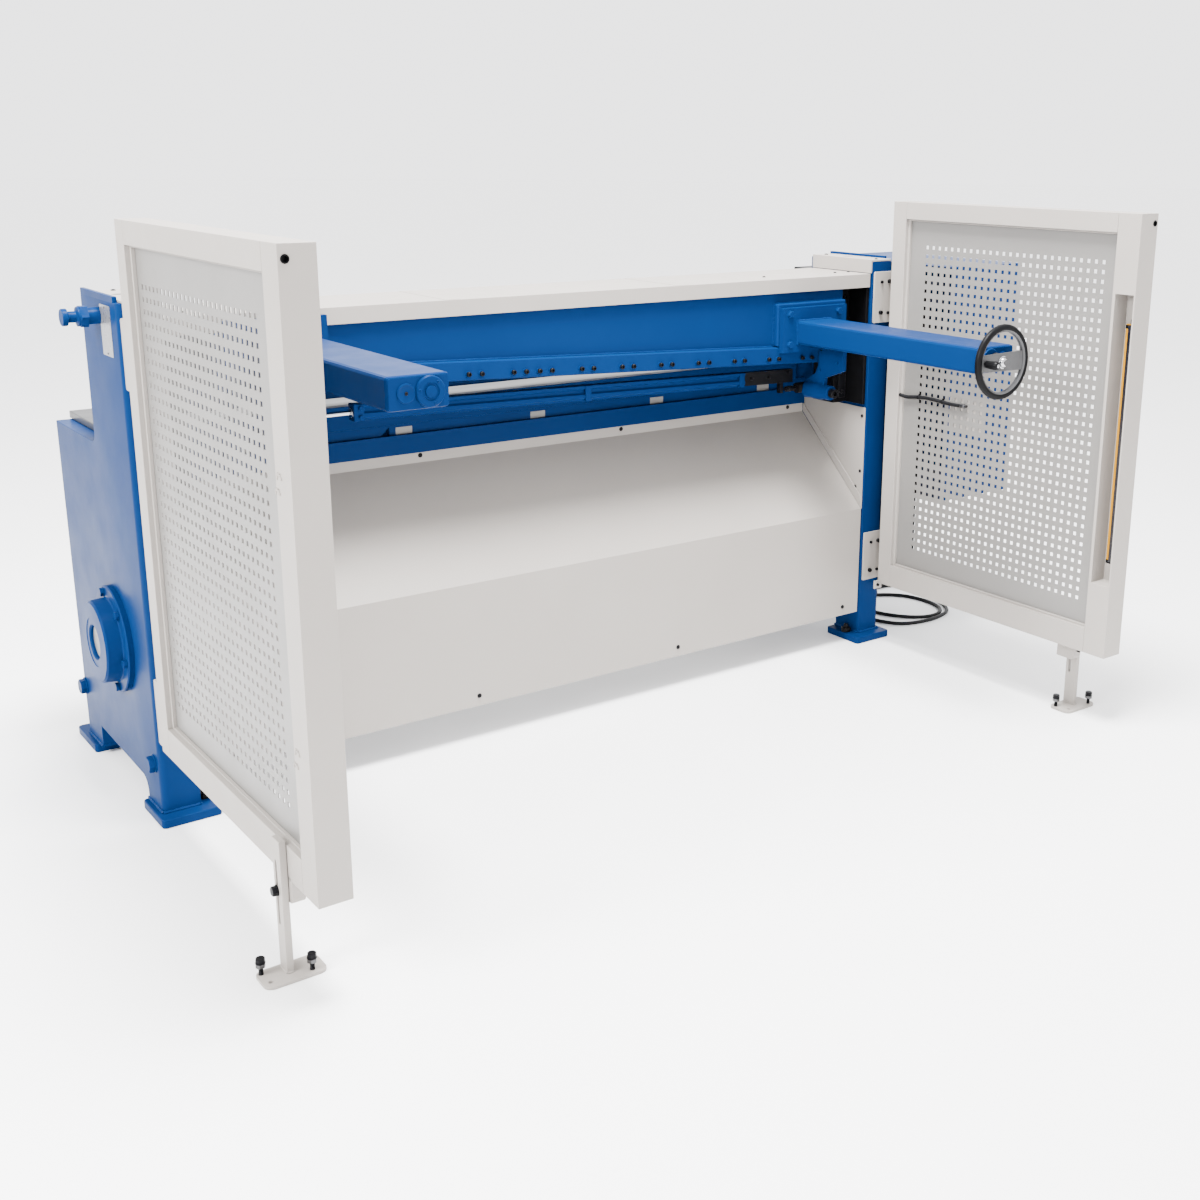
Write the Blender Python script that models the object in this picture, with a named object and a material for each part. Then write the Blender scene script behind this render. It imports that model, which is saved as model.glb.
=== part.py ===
"""Motorised guillotine shear for sheet metal, seen from its rear: two side frames, a raked
ram with the manual back gauge on it, a table with a scrap chute, and two rear side guards.

Metres, +Z up. -Y is the rear, where the cut pieces come out, and +Y is the operator's side.
The rear faces of the side frames lie at y = 0 while the parts are made; the empty
machine_origin then moves the whole machine so that its footprint is centred on the origin.
"""

import math

import bmesh
import bpy
from mathutils import Matrix, Vector

# ---------------------------------------------------------------- driving dimensions
GAP = 0.0003                 # running and seating gap between touching pieces
STEEL_PLATE = 0.020
SHEET = 0.003                # folded sheet-metal covers
RAKE = 0.0419                # slope of the upper blade, metres per metre (2.4 degrees)
STROKE = 0.096               # travel of the ram

FRAME_OUT = 1.150            # outer face of a side frame, from the middle of the machine
FRAME_IN = 1.062             # inner face
FRAME_TOP = 1.200
FRAME_NECK = 0.275           # depth of the upper part
FRAME_DEPTH = 0.615          # depth of the lower part
SHOULDER_Z = 0.856
FOOT_THICK = 0.022
ARCH_TOP = 0.072
ARCH_REAR = 0.106
ARCH_FRONT = 0.480
OUTER_PLATE_TOP = 1.213      # the outer plate stands a little above the cap

TABLE_TOP = 0.875
TABLE_FRONT = 0.627
BLADE_PLANE = 0.290          # the cutting plane, the rear face of the lower blade

RAM_HALF = 0.955
RAM_REAR = 0.012
RAM_FRONT = 0.2615
RAM_TOP = 1.145
BAR_MID_Z = 0.9503           # underside of the ram at the middle of the machine
BAR_HEIGHT = 0.049
BLADE_MID_Z = 0.9259         # cutting edge of the upper blade at the middle

SHAFT_Y = 0.245              # eccentric shaft
SHAFT_Z = 0.385
CRANK = STROKE / 2
SHAFT_R = 0.035
STUB_R = 0.040
PIN_R = 0.020

PLUNGERS = (-0.930, -0.465, 0.0, 0.465, 0.930)

ARM_X = 0.813                # back gauge arms
ARM_WIDE = 0.133
ARM_HIGH = 0.068
ARM_MID_Z = 1.0457
ARM_END = -0.717
ARM_ROOT = -0.0243
ARM_WALL = 0.006
SCREW_X = 0.790              # lead screw inside an arm
ROD_X = 0.840                # guide rod inside an arm
SCREW_R = 0.010
GAUGE_TRAVEL = 0.480

FENCE_Y = 0.060
FENCE_MID_TOP = 0.9105
FENCE_SLOPE = 0.0226
FENCE_HIGH = 0.042

WHEEL_Y = -0.758
WHEEL_R = 0.096

GUARD_IN = 1.087
GUARD_OUT = 1.155
GUARD_FAR = -0.055
GUARD_NEAR = -0.925
GUARD_LOW = 0.200
GUARD_HIGH = 1.380
STILE = 0.052
COLUMN = 0.070
TOP_RAIL = 0.050
LOW_RAIL = 0.070
SHEET_X = {"left": 1.135, "right": 1.106}
CURTAIN_X = (1.1160, 1.1406)
LEG_BOLTS = {"left": [(-1.211, -0.758), (-1.125, -0.798)], "right": [(1.110, -0.762), (1.203, -0.802)]}

COVER_X = (1.2485, 1.5625)   # motor cover on the right frame
COVER_Y = (-0.150, 0.420)
COVER_Z = (0.459, 1.187)
BELT_X = (1.1515, 1.2480)
FLYWHEEL_R = 0.175
PULLEY_R = 0.040
MOTOR_Y, MOTOR_Z = 0.200, 0.900

CABLE_R = 0.006

# the footprint of the machine, which machine_origin centres on the world origin
FOOTPRINT_X = (-1.230, COVER_X[1])
FOOTPRINT_Y = (GUARD_NEAR, 0.665)

SIDES = {"left": -1, "right": 1}


# ---------------------------------------------------------------- materials
def material(name, color, roughness, metallic=0.0):
    mat = bpy.data.materials.new(name)
    mat.use_nodes = True
    shader = mat.node_tree.nodes["Principled BSDF"]
    shader.inputs["Base Color"].default_value = (*color, 1.0)
    shader.inputs["Roughness"].default_value = roughness
    shader.inputs["Metallic"].default_value = metallic
    mat.diffuse_color = (*color, 1.0)
    return mat


def make_materials():
    return {
        "blue": material("blue_paint", (0.028, 0.130, 0.420), 0.38),
        "white": material("warm_white_paint", (0.760, 0.730, 0.680), 0.45),
        "steel": material("machined_steel", (0.55, 0.56, 0.58), 0.28, 1.0),
        "chrome": material("chromed_steel", (0.78, 0.78, 0.80), 0.12, 1.0),
        "black": material("black_plastic", (0.016, 0.016, 0.018), 0.42),
        "dark": material("blackened_steel", (0.035, 0.035, 0.040), 0.35, 0.7),
        "yellow": material("yellow_housing", (0.780, 0.420, 0.020), 0.40),
        "rubber": material("cable_rubber", (0.012, 0.012, 0.012), 0.60),
    }


# ---------------------------------------------------------------- modelling helpers
def clear_scene():
    for obj in list(bpy.data.objects):
        bpy.data.objects.remove(obj, do_unlink=True)


def add(name, bm, mat, origin=(0, 0, 0), smooth=None):
    """Turns a bmesh made in machine coordinates into an object whose origin is at origin."""
    bmesh.ops.recalc_face_normals(bm, faces=bm.faces)
    bm.transform(Matrix.Translation(-Vector(origin)))
    mesh = bpy.data.meshes.new(name)
    bm.to_mesh(mesh)
    bm.free()
    obj = bpy.data.objects.new(name, mesh)
    bpy.context.scene.collection.objects.link(obj)
    obj.location = origin
    if mat:
        mesh.materials.append(mat)
    if smooth:
        mesh.shade_smooth()
        mesh.set_sharp_from_angle(angle=math.radians(smooth))
    return obj


def hidden(obj):
    obj.hide_render = True
    obj.display_type = "WIRE"
    obj.name = "cutter_" + obj.name
    return obj


def boolean(obj, tool, operation="DIFFERENCE"):
    """Cuts tool from obj, or joins it on; tool is hidden and travels with obj."""
    modifier = obj.modifiers.new(operation.lower(), "BOOLEAN")
    modifier.operation = operation
    modifier.solver = "EXACT"
    modifier.object = hidden(tool)
    tool.parent = obj
    tool.matrix_parent_inverse = Matrix.Translation(-Vector(obj.location))
    return obj


def bevel(obj, width, segments=1, angle=40):
    modifier = obj.modifiers.new("edge", "BEVEL")
    modifier.width = width
    modifier.segments = segments
    modifier.limit_method = "ANGLE"
    modifier.angle_limit = math.radians(angle)
    modifier.harden_normals = False
    return obj


def hexahedron(low_points, high_points):
    """A solid between two quads, given corner by corner in the same order."""
    bm = bmesh.new()
    low = [bm.verts.new(p) for p in low_points]
    high = [bm.verts.new(p) for p in high_points]
    bm.faces.new(low)
    bm.faces.new(high)
    for i in range(4):
        j = (i + 1) % 4
        bm.faces.new((low[i], low[j], high[j], high[i]))
    return bm


def box_mesh(low, high, slope=0.0):
    """A box between two corners. slope shears it down along +X, as the rake does."""
    (x0, y0, z0), (x1, y1, z1) = low, high
    quad = [(x0, y0), (x1, y0), (x1, y1), (x0, y1)]
    return hexahedron(
        [(x, y, z0 - slope * x) for x, y in quad], [(x, y, z1 - slope * x) for x, y in quad]
    )


def box(name, low, high, mat=None, slope=0.0, origin=(0, 0, 0)):
    return add(name, box_mesh(low, high, slope), mat, origin)


def prism(name, outline, axis, start, end, mat=None, origin=(0, 0, 0), smooth=None):
    """Extrudes a closed outline along axis. The outline is (y, z) for X, (x, z) for Y, (x, y) for Z."""
    place = {
        "X": lambda a, b, t: (t, a, b),
        "Y": lambda a, b, t: (a, t, b),
        "Z": lambda a, b, t: (a, b, t),
    }[axis]
    bm = bmesh.new()
    first = [bm.verts.new(place(a, b, start)) for a, b in outline]
    last = [bm.verts.new(place(a, b, end)) for a, b in outline]
    bm.faces.new(first)
    bm.faces.new(last)
    for i in range(len(outline)):
        j = (i + 1) % len(outline)
        bm.faces.new((first[i], first[j], last[j], last[i]))
    return add(name, bm, mat, origin, smooth)


def cylinder(name, axis, centre, radius, start, end, mat=None, sides=24, origin=None):
    """A cylinder along axis; centre is the pair of the other two coordinates, in X, Y, Z order."""
    a, b = centre
    outline = arc((a, b), radius, 0, 360 * (sides - 1) / sides, sides)
    return prism(name, outline, axis, start, end, mat, origin or (0, 0, 0), 40)


def arc(centre, radius, first, last, points):
    step = (last - first) / (points - 1)
    angles = [math.radians(first + step * i) for i in range(points)]
    return [(centre[0] + radius * math.cos(a), centre[1] + radius * math.sin(a)) for a in angles]


def turned(name, profile, axis, centre, mat, sides=24, origin=(0, 0, 0)):
    """Turns a closed profile of (position along axis, radius) about an axis parallel to X or Y."""
    bm = bmesh.new()
    rings = []
    for along, radius in profile:
        ring = []
        for i in range(sides):
            angle = 2 * math.pi * i / sides
            a = centre[0] + radius * math.cos(angle)
            b = centre[1] + radius * math.sin(angle)
            ring.append(bm.verts.new((along, a, b) if axis == "X" else (a, along, b)))
        rings.append(ring)
    for low, high in zip(rings, rings[1:] + rings[:1]):
        for i in range(sides):
            j = (i + 1) % sides
            bm.faces.new((low[i], low[j], high[j], high[i]))
    return add(name, bm, mat, origin, 35)


def solid_turned(name, profile, axis, centre, mat, sides=24, origin=(0, 0, 0)):
    """Turns an open profile of (position, radius) and closes its two ends with discs."""
    bm = bmesh.new()
    rings = []
    for along, radius in profile:
        ring = []
        for i in range(sides):
            angle = 2 * math.pi * i / sides
            a = centre[0] + radius * math.cos(angle)
            b = centre[1] + radius * math.sin(angle)
            ring.append(bm.verts.new((along, a, b) if axis == "X" else (a, along, b)))
        rings.append(ring)
    bm.faces.new(rings[0])
    bm.faces.new(rings[-1])
    for low, high in zip(rings, rings[1:]):
        for i in range(sides):
            j = (i + 1) % sides
            bm.faces.new((low[i], low[j], high[j], high[i]))
    return add(name, bm, mat, origin, 35)


def rake_drop(x):
    return RAKE * x


# ---------------------------------------------------------------- side frames and covers
def frame_outline():
    """Side view of a frame: rear foot, back edge, neck, shoulder and the arch between the feet."""
    notch = arc((FRAME_NECK + 0.022, SHOULDER_Z + 0.022), 0.022, 180, 270, 5)
    arch_corner = arc((ARCH_REAR + 0.035, ARCH_TOP - 0.035), 0.035, 90, 180, 5)
    return (
        [(0, FOOT_THICK - 0.002), (0, FRAME_TOP), (FRAME_NECK, FRAME_TOP)]
        + notch
        + [(FRAME_DEPTH, SHOULDER_Z), (FRAME_DEPTH - 0.012, FOOT_THICK - 0.002)]
        + [(ARCH_FRONT, FOOT_THICK - 0.002), (ARCH_FRONT, ARCH_TOP + 0.006)]
        + arch_corner
        + [(ARCH_REAR, FOOT_THICK - 0.002)]
    )


def span(side, near, far):
    """The two x values of a piece between near and far from the middle, low one first."""
    sign = SIDES[side]
    return sorted((sign * near, sign * far))


def make_frame(side, mats):
    x0, x1 = span(side, FRAME_IN, FRAME_OUT)
    frame = prism(f"{side}_side_frame", frame_outline(), "X", x0, x1, mats["blue"])
    plate_x = span(side, FRAME_OUT - 0.010, FRAME_OUT - 0.0002)
    rise = box("rise", (plate_x[0], 0.03, 1.19), (plate_x[1], FRAME_NECK, OUTER_PLATE_TOP))
    boolean(frame, rise, "UNION")
    foot_x = span(side, 1.025, 1.165)
    for tag, y0, y1 in (("rear_foot", -0.038, 0.108), ("front_foot", 0.500, 0.665)):
        foot = box(tag, (foot_x[0], y0, 0), (foot_x[1], y1, FOOT_THICK))
        boolean(frame, bevel(foot, 0.006), "UNION")
    pocket_x = span(side, FRAME_IN - 0.02, FRAME_OUT - STEEL_PLATE)
    crank_room = box("crank_room", (pocket_x[0], 0.130, 0.245), (pocket_x[1], 0.360, 0.575))
    yoke_slot = box("yoke_slot", (pocket_x[0], 0.175, 0.570), (pocket_x[1], 0.256, 1.130))
    boolean(frame, crank_room)
    boolean(frame, yoke_slot)
    bore_x = span(side, FRAME_OUT - 0.03, FRAME_OUT + 0.02)
    boolean(frame, cylinder("bore", "X", (SHAFT_Y, SHAFT_Z), STUB_R + 0.006, *bore_x, sides=24))
    return frame


def make_cap(side, mats):
    """Folded cap over the top of a frame, with the round lifting hole."""
    low, high = FRAME_TOP + GAP, FRAME_TOP + 0.006
    x0, x1 = span(side, FRAME_IN - 0.006, FRAME_OUT - 0.0105)
    cap = box(f"{side}_top_cap", (x0, 0.0, low), (x1, FRAME_NECK - 0.012, high), mats["white"])
    skirt_x = span(side, FRAME_IN - 0.006, FRAME_IN - GAP)
    skirt = box("skirt", (skirt_x[0], 0.0, 1.1665), (skirt_x[1], FRAME_NECK - 0.012, high))
    boolean(cap, skirt, "UNION")
    hole_x = SIDES[side] * 1.100
    return boolean(cap, cylinder("hole", "Z", (hole_x, 0.150), 0.017, 1.15, 1.25, sides=20))


def make_bearing(side, mats):
    """Flange bearing of the eccentric shaft, bolted to the outer face of a frame."""
    sign = SIDES[side]
    reach = [(FRAME_OUT + GAP, 0.0412), (FRAME_OUT + GAP, 0.128), (FRAME_OUT + 0.015, 0.130)]
    reach += [(FRAME_OUT + 0.016, 0.101), (FRAME_OUT + 0.052, 0.099), (FRAME_OUT + 0.055, 0.096)]
    reach += [(FRAME_OUT + 0.055, 0.0412)]
    profile = [(sign * x, r) for x, r in reach]
    return turned(f"{side}_flange_bearing", profile, "X", (SHAFT_Y, SHAFT_Z), mats["blue"], 32)


def make_lifting_pin(side, mats):
    sign = SIDES[side]
    steps = [(1.1503, 0.0185), (1.178, 0.0185), (1.178, 0.023), (1.198, 0.023)]
    steps += [(1.198, 0.0125), (1.217, 0.0125), (1.2185, 0.019), (1.230, 0.019)]
    profile = [(sign * x, r) for x, r in steps]
    return solid_turned(f"{side}_lifting_pin", profile, "X", (0.139, 1.163), mats["blue"], 20)


def make_top_cover(mats):
    """White channel over the ram: a flat top and a flange down its rear edge."""
    edge = FRAME_IN - 0.007
    cover = box("ram_top_cover", (-edge, 0.0, 1.162), (edge, 0.258, 1.165), mats["white"])
    flange = box("flange", (-edge, 0.0, 1.1245), (edge, SHEET, 1.165))
    boolean(cover, flange, "UNION")
    front = box("front_flange", (-edge, 0.255, 1.1495), (edge, 0.258, 1.165))
    return boolean(cover, front, "UNION")


# ---------------------------------------------------------------- table and chute
def make_table_top(mats):
    rear = BLADE_PLANE + 0.0256
    top = box(
        "table_top", (-1.114, rear, SHOULDER_Z + GAP), (1.114, TABLE_FRONT, TABLE_TOP), mats["steel"]
    )
    return bevel(top, 0.0015)


def make_rear_plate(mats):
    """Upright plate under the lower blade, with the openings that show on the rear side."""
    y0, y1 = BLADE_PLANE + 0.003, BLADE_PLANE + 0.021
    plate = box("table_rear_plate", (-1.0615, y0, 0.700), (1.0615, y1, 0.8117), mats["blue"])
    for x in (-0.797, -0.382, 0.033, 0.448, 0.863):
        boolean(plate, box("window", (x, y0 - 0.01, 0.7845), (x + 0.049, y1 + 0.01, 0.8045)))
    strip = box("strip", (-1.0550, BLADE_PLANE - 0.007, 0.7315), (1.0550, y0 + 0.002, 0.7842))
    boolean(plate, strip, "UNION")
    corner = [(-0.425, 0.7845), (-0.400, 0.7845), (-0.400, 0.808)]
    return boolean(plate, prism("corner_hole", corner, "Y", y0 - 0.01, y1 + 0.01))


def make_front_plate(mats):
    return box(
        "table_front_plate", (-1.0615, 0.585, 0.640), (1.0615, 0.605, SHOULDER_Z - GAP), mats["blue"]
    )


def make_lower_blade(mats):
    blade = box(
        "lower_blade", (-1.025, BLADE_PLANE, 0.8120), (1.025, BLADE_PLANE + 0.025, TABLE_TOP),
        mats["steel"],
    )
    return blade


def make_chute(mats):
    """One folded sheet: a flange under the table, the slope and the upright front."""
    t = SHEET
    back = BLADE_PLANE + 0.0025
    outer = [(back - t, 0.7310), (back - t, 0.7025), (0.0, 0.4350), (0.0, 0.0950)]
    inner = [(t, 0.0950), (t, 0.4337), (back, 0.7010), (back, 0.7310)]
    chute = prism("scrap_chute", outer + inner, "X", -1.0550, 1.0550, mats["white"])
    return chute


def make_cheek(side, mats):
    """Side plate of the chute, flat against the inner face of the frame."""
    outline = [(0.004, 0.452), (0.004, 0.755), (0.2895, 0.755), (0.2895, 0.716)]
    x0, x1 = span(side, FRAME_IN - 0.0030, FRAME_IN - 0.0005)
    return prism(f"{side}_chute_cheek", outline, "X", x0, x1, mats["white"])


# ---------------------------------------------------------------- ram and its drive
def make_ram(mats):
    """Welded box beam with a raked underside, open at both ends, and a tongue at each end."""
    bm = bmesh.new()

    def loop(x, y0, y1, low, high):
        corners = [(y0, low - rake_drop(x)), (y1, low - rake_drop(x)), (y1, high), (y0, high)]
        return [bm.verts.new((x, y, z)) for y, z in corners]

    bottom = BAR_MID_Z + 0.002
    outer = [loop(x, RAM_REAR, RAM_FRONT, bottom, RAM_TOP) for x in (-RAM_HALF, RAM_HALF)]
    inner = [
        loop(x, RAM_REAR + 0.022, RAM_FRONT - 0.025, bottom + 0.050, RAM_TOP - 0.024)
        for x in (-RAM_HALF, RAM_HALF)
    ]
    for i in range(4):
        j = (i + 1) % 4
        bm.faces.new((outer[0][i], outer[0][j], outer[1][j], outer[1][i]))
        bm.faces.new((inner[0][i], inner[0][j], inner[1][j], inner[1][i]))
        for end in (0, 1):
            bm.faces.new((outer[end][i], outer[end][j], inner[end][j], inner[end][i]))
    ram = add("ram_beam", bm, mats["blue"])
    for side, sign in SIDES.items():
        x0, x1 = span(side, RAM_HALF - 0.060, 1.0776)
        z0 = 1.035
        tongue = box("tongue", (x0, 0.187, z0), (x1, 0.2410, 1.118))
        boolean(ram, tongue, "UNION")
        z = ARM_MID_Z - rake_drop(sign * ARM_X)
        boolean(ram, cylinder("screw_hole", "Y", (sign * SCREW_X, z), 0.013, -0.01, 0.05, sides=16))
    return ram


def make_holder_bar(mats):
    bar = box(
        "blade_holder_bar", (-RAM_HALF, -0.008, BAR_MID_Z),
        (RAM_HALF, RAM_REAR - GAP, BAR_MID_Z + BAR_HEIGHT),
        mats["blue"], slope=RAKE,
    )
    return bevel(bar, 0.003, 2)


def make_upper_blade(mats):
    return box(
        "upper_blade", (-1.0, RAM_FRONT + GAP, BLADE_MID_Z),
        (1.0, BLADE_PLANE - 0.0008, BLADE_MID_Z + 0.075),
        mats["steel"], slope=RAKE,
    )


def make_yoke(side, mats):
    """Pull yoke: hangs on the ram's tongue, and its window rides on the crank pin."""
    window_half = CRANK + PIN_R + 0.004
    window_high = PIN_R + 0.0125
    head = window_half + 0.024
    pin_z = SHAFT_Z + CRANK
    outline = [
        (SHAFT_Y - head, pin_z - 0.060), (SHAFT_Y + head, pin_z - 0.060),
        (SHAFT_Y + head, pin_z + 0.060), (0.246, pin_z + 0.100),
        (0.246, 1.118), (0.184, 1.118), (0.184, pin_z + 0.100), (SHAFT_Y - head, pin_z + 0.060),
    ]
    x0, x1 = span(side, 1.078, 1.114)
    yoke = prism(f"{side}_pull_yoke", outline, "X", x0, x1, mats["steel"])
    window = box(
        "window", (x0 - 0.01, SHAFT_Y - window_half, pin_z - window_high),
        (x1 + 0.01, SHAFT_Y + window_half, pin_z + window_high),
    )
    return boolean(yoke, window)


def make_shaft(mats):
    """Eccentric shaft: a crank pin between two discs inside each frame, and a stub in each bearing."""
    origin = (0, SHAFT_Y, SHAFT_Z)
    axis = (SHAFT_Y, SHAFT_Z)
    shaft = cylinder("eccentric_shaft", "X", axis, SHAFT_R, -1.070, 1.070, mats["steel"], 20, origin)
    for side in SIDES:
        for name, r, near, far, up, sides in (
            ("inner_web", 0.078, 1.0655, 1.0745, 0, 28), ("crank_pin", PIN_R, 1.0740, 1.1185, CRANK, 16),
            ("outer_web", 0.078, 1.1180, 1.1265, 0, 28), ("stub", STUB_R - 0.0004, 1.1260, 1.195, 0, 24),
        ):
            x0, x1 = span(side, near, far)
            piece = cylinder(name, "X", (SHAFT_Y, SHAFT_Z + up), r, x0, x1, sides=sides)
            boolean(shaft, piece, "UNION")
    boolean(shaft, cylinder("flywheel_seat", "X", axis, 0.020, 1.19, 1.2415, sides=16), "UNION")
    return shaft


def make_hold_down(mats):
    """Sprung bar on the operator's side that presses the sheet on the table while it is cut."""
    bar = box("hold_down_bar", (-0.985, 0.330, TABLE_TOP + 0.016), (0.985, 0.372, 0.962), mats["blue"])
    bevel(bar, 0.003)
    for x in PLUNGERS:
        boolean(bar, cylinder("plunger", "Z", (x, 0.351), 0.0120, 0.955, 1.105, sides=16), "UNION")
    return bar


def make_hold_down_beam(mats):
    """Fixed beam between the frame necks that carries the plungers of the hold-down bar."""
    beam = box("hold_down_beam", (-1.0400, 0.2960, 0.985), (1.0400, 0.4000, 1.120), mats["blue"])
    for side in SIDES:
        x0, x1 = span(side, FRAME_IN - 0.024, FRAME_IN - 0.0005)
        boolean(beam, box("end", (x0, 0.246, 0.985), (x1, 0.400, 1.120)), "UNION")
    for x in PLUNGERS:
        boolean(beam, cylinder("bore", "Z", (x, 0.351), 0.0125, 0.97, 1.14, sides=16))
    return beam


# ---------------------------------------------------------------- back gauge
def arm_z(side):
    return ARM_MID_Z - rake_drop(SIDES[side] * ARM_X)


def make_pad(side, mats):
    z = arm_z(side) + 0.020
    x0, x1 = span(side, 0.684, 0.950)
    top = min(z + 0.0635, 1.1235)
    pad = box(f"{side}_arm_pad", (x0, -0.0086, z - 0.0590), (x1, RAM_REAR - GAP, top), mats["blue"])
    boolean(pad, cylinder("hole", "Y", (SIDES[side] * SCREW_X, arm_z(side)), 0.013, -0.03, 0.05, sides=16))
    return bevel(pad, 0.004, 2)


def make_arm(side, mats):
    """Box arm with its mounting plate, slotted underneath for the carriage."""
    sign, z = SIDES[side], arm_z(side)
    x = sign * ARM_X
    low, high = z - ARM_HIGH / 2, z + ARM_HIGH / 2
    half = ARM_WIDE / 2
    arm = box(f"{side}_gauge_arm", (x - half, ARM_END, low), (x + half, -0.012, high), mats["blue"])
    bevel(arm, 0.007, 2)
    plate_x = span(side, 0.692, 0.938)
    plate = box("plate", (plate_x[0], ARM_ROOT, z - 0.056), (plate_x[1], -0.0089, z + 0.072))
    boolean(arm, plate, "UNION")
    wall = ARM_WALL
    inside = box(
        "inside", (x - ARM_WIDE / 2 + wall, ARM_END + 0.012, low + wall),
        (x + ARM_WIDE / 2 - wall, ARM_ROOT - 0.004, high - wall),
    )
    boolean(arm, inside)
    slot = box("slot", (x - 0.017, ARM_END + 0.040, low - 0.02), (x + 0.017, ARM_ROOT - 0.006, z))
    boolean(arm, slot)
    for hole_x in (SCREW_X, ROD_X):
        boolean(arm, cylinder("hole", "Y", (sign * hole_x, z), 0.0125, -0.75, 0.02, sides=16))
    return arm


def make_screw(side, mats):
    """Lead screw; its origin is on its own axis."""
    z = arm_z(side)
    centre = (SIDES[side] * SCREW_X, z)
    end = -0.775 if side == "right" else ARM_END + 0.002
    profile = [(end, 0.008), (ARM_END - 0.002 if side == "right" else ARM_END + 0.006, 0.008)]
    profile += [(ARM_END + 0.018, 0.008), (ARM_END + 0.018, SCREW_R), (-0.034, SCREW_R), (-0.034, 0.008)]
    profile += [(0.052, 0.008), (0.052, 0.020), (0.066, 0.012)]
    return solid_turned(f"{side}_lead_screw", profile, "Y", centre, mats["steel"], 16, (centre[0], 0, z))


def make_guide_rod(side, mats):
    z = arm_z(side)
    rod = cylinder(
        f"{side}_guide_rod", "Y", (SIDES[side] * ROD_X, z), 0.0095, ARM_END + 0.001, -0.0090,
        mats["chrome"], 16,
    )
    return rod


def make_sync_shaft(mats):
    """Cross shaft inside the ram that turns both lead screws; it lies parallel to the rake."""
    half = SCREW_X - 0.024
    bm = bmesh.new()
    rings = []
    for x, r in ((-half - 0.006, 0.011), (-half + 0.010, 0.018), (-half + 0.010, 0.007)):
        rings.append((x, r))
    rings += [(-x, r) for x, r in reversed(rings)]
    loops = []
    for x, r in rings:
        z = ARM_MID_Z - RAKE * x * ARM_X / SCREW_X
        loops.append(
            [
                bm.verts.new((x, 0.086 + r * math.cos(a), z + r * math.sin(a)))
                for a in (math.tau * i / 16 for i in range(16))
            ]
        )
    bm.faces.new(loops[0])
    bm.faces.new(loops[-1])
    for low, high in zip(loops, loops[1:]):
        for i in range(16):
            j = (i + 1) % 16
            bm.faces.new((low[i], low[j], high[j], high[i]))
    return add("sync_shaft", bm, mats["steel"], (0, 0.086, ARM_MID_Z), 35)


def carriage_outline(side):
    """Side view (y, z) of the hanging plate under an arm; the round lower end holds the bolt."""
    top = arm_z(side) - ARM_HIGH / 2 - 0.002
    low = fence_top(SIDES[side] * ARM_X) - 0.089
    round_end = arc((-0.068, low + 0.028), 0.028, 180, 270, 6)
    return (
        [(-0.118, top), (-0.118, top - 0.060)] + round_end
        + [(0.052, low), (0.052, low + 0.050), (0.000, low + 0.080), (-0.0105, low + 0.105)]
        + [(-0.0105, top - 0.024), (-0.0265, top - 0.024), (-0.0265, top)]
    )


def make_carriage(side, mats):
    """Nut block on the lead screw and guide rod, a neck through the slot, and the hanging plate."""
    sign, z = SIDES[side], arm_z(side)
    x = sign * ARM_X
    carriage = box(
        f"{side}_carriage", (x - 0.052, -0.100, z - 0.024), (x + 0.052, -0.045, z + 0.024), mats["blue"]
    )
    boolean(carriage, box("neck", (x - 0.013, -0.098, z - 0.0375), (x + 0.013, -0.047, z)), "UNION")
    foot_x = sorted((x - sign * 0.020, sign * 0.858))
    low = z - ARM_HIGH / 2 - 0.012
    boolean(carriage, box("foot", (foot_x[0], -0.110, low), (foot_x[1], -0.030, z - 0.0362)), "UNION")
    plate_x = span(side, 0.844, 0.8575)
    boolean(carriage, prism("plate", carriage_outline(side), "X", *plate_x), "UNION")
    for hole_x, r in ((SCREW_X, 0.0110), (ROD_X, 0.0103)):
        boolean(carriage, cylinder("hole", "Y", (sign * hole_x, z), r, -0.15, 0.02, sides=16))
    return carriage


def fence_top(x):
    return FENCE_MID_TOP - FENCE_SLOPE * x


def fence_section():
    """Section (y, z below the top) of the fence: a plain stop face and a grooved rear side."""
    y0, y1 = FENCE_Y - 0.014, FENCE_Y + 0.014
    h = FENCE_HIGH
    return [
        (y1, 0), (y0, 0), (y0, -0.008), (y0 + 0.007, -0.012), (y0 + 0.007, -0.020), (y0, -0.024),
        (y0, -0.034), (y0 + 0.007, -0.037), (y0 + 0.007, -h), (y1, -h),
    ]


def sloped_bar(name, section, x0, x1, mat):
    bm = bmesh.new()
    loops = [
        [bm.verts.new((x, y, fence_top(x) + z)) for y, z in section] for x in (x0, x1)
    ]
    bm.faces.new(loops[0])
    bm.faces.new(loops[1])
    count = len(section)
    for i in range(count):
        j = (i + 1) % count
        bm.faces.new((loops[0][i], loops[0][j], loops[1][j], loops[1][i]))
    return add(name, bm, mat)


def make_fence(mats):
    fence = sloped_bar("fence_bar", fence_section(), -0.600, 0.612, mats["blue"])
    y0, h = FENCE_Y - 0.016, FENCE_HIGH
    rib = [(y0 + 0.020, -0.001), (y0, -0.001), (y0, -h + 0.001), (y0 + 0.020, -h + 0.001)]
    for x in (-0.599, 0.058, 0.590):
        boolean(fence, sloped_bar("rib", rib, x, x + 0.018, None), "UNION")
    return fence


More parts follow.
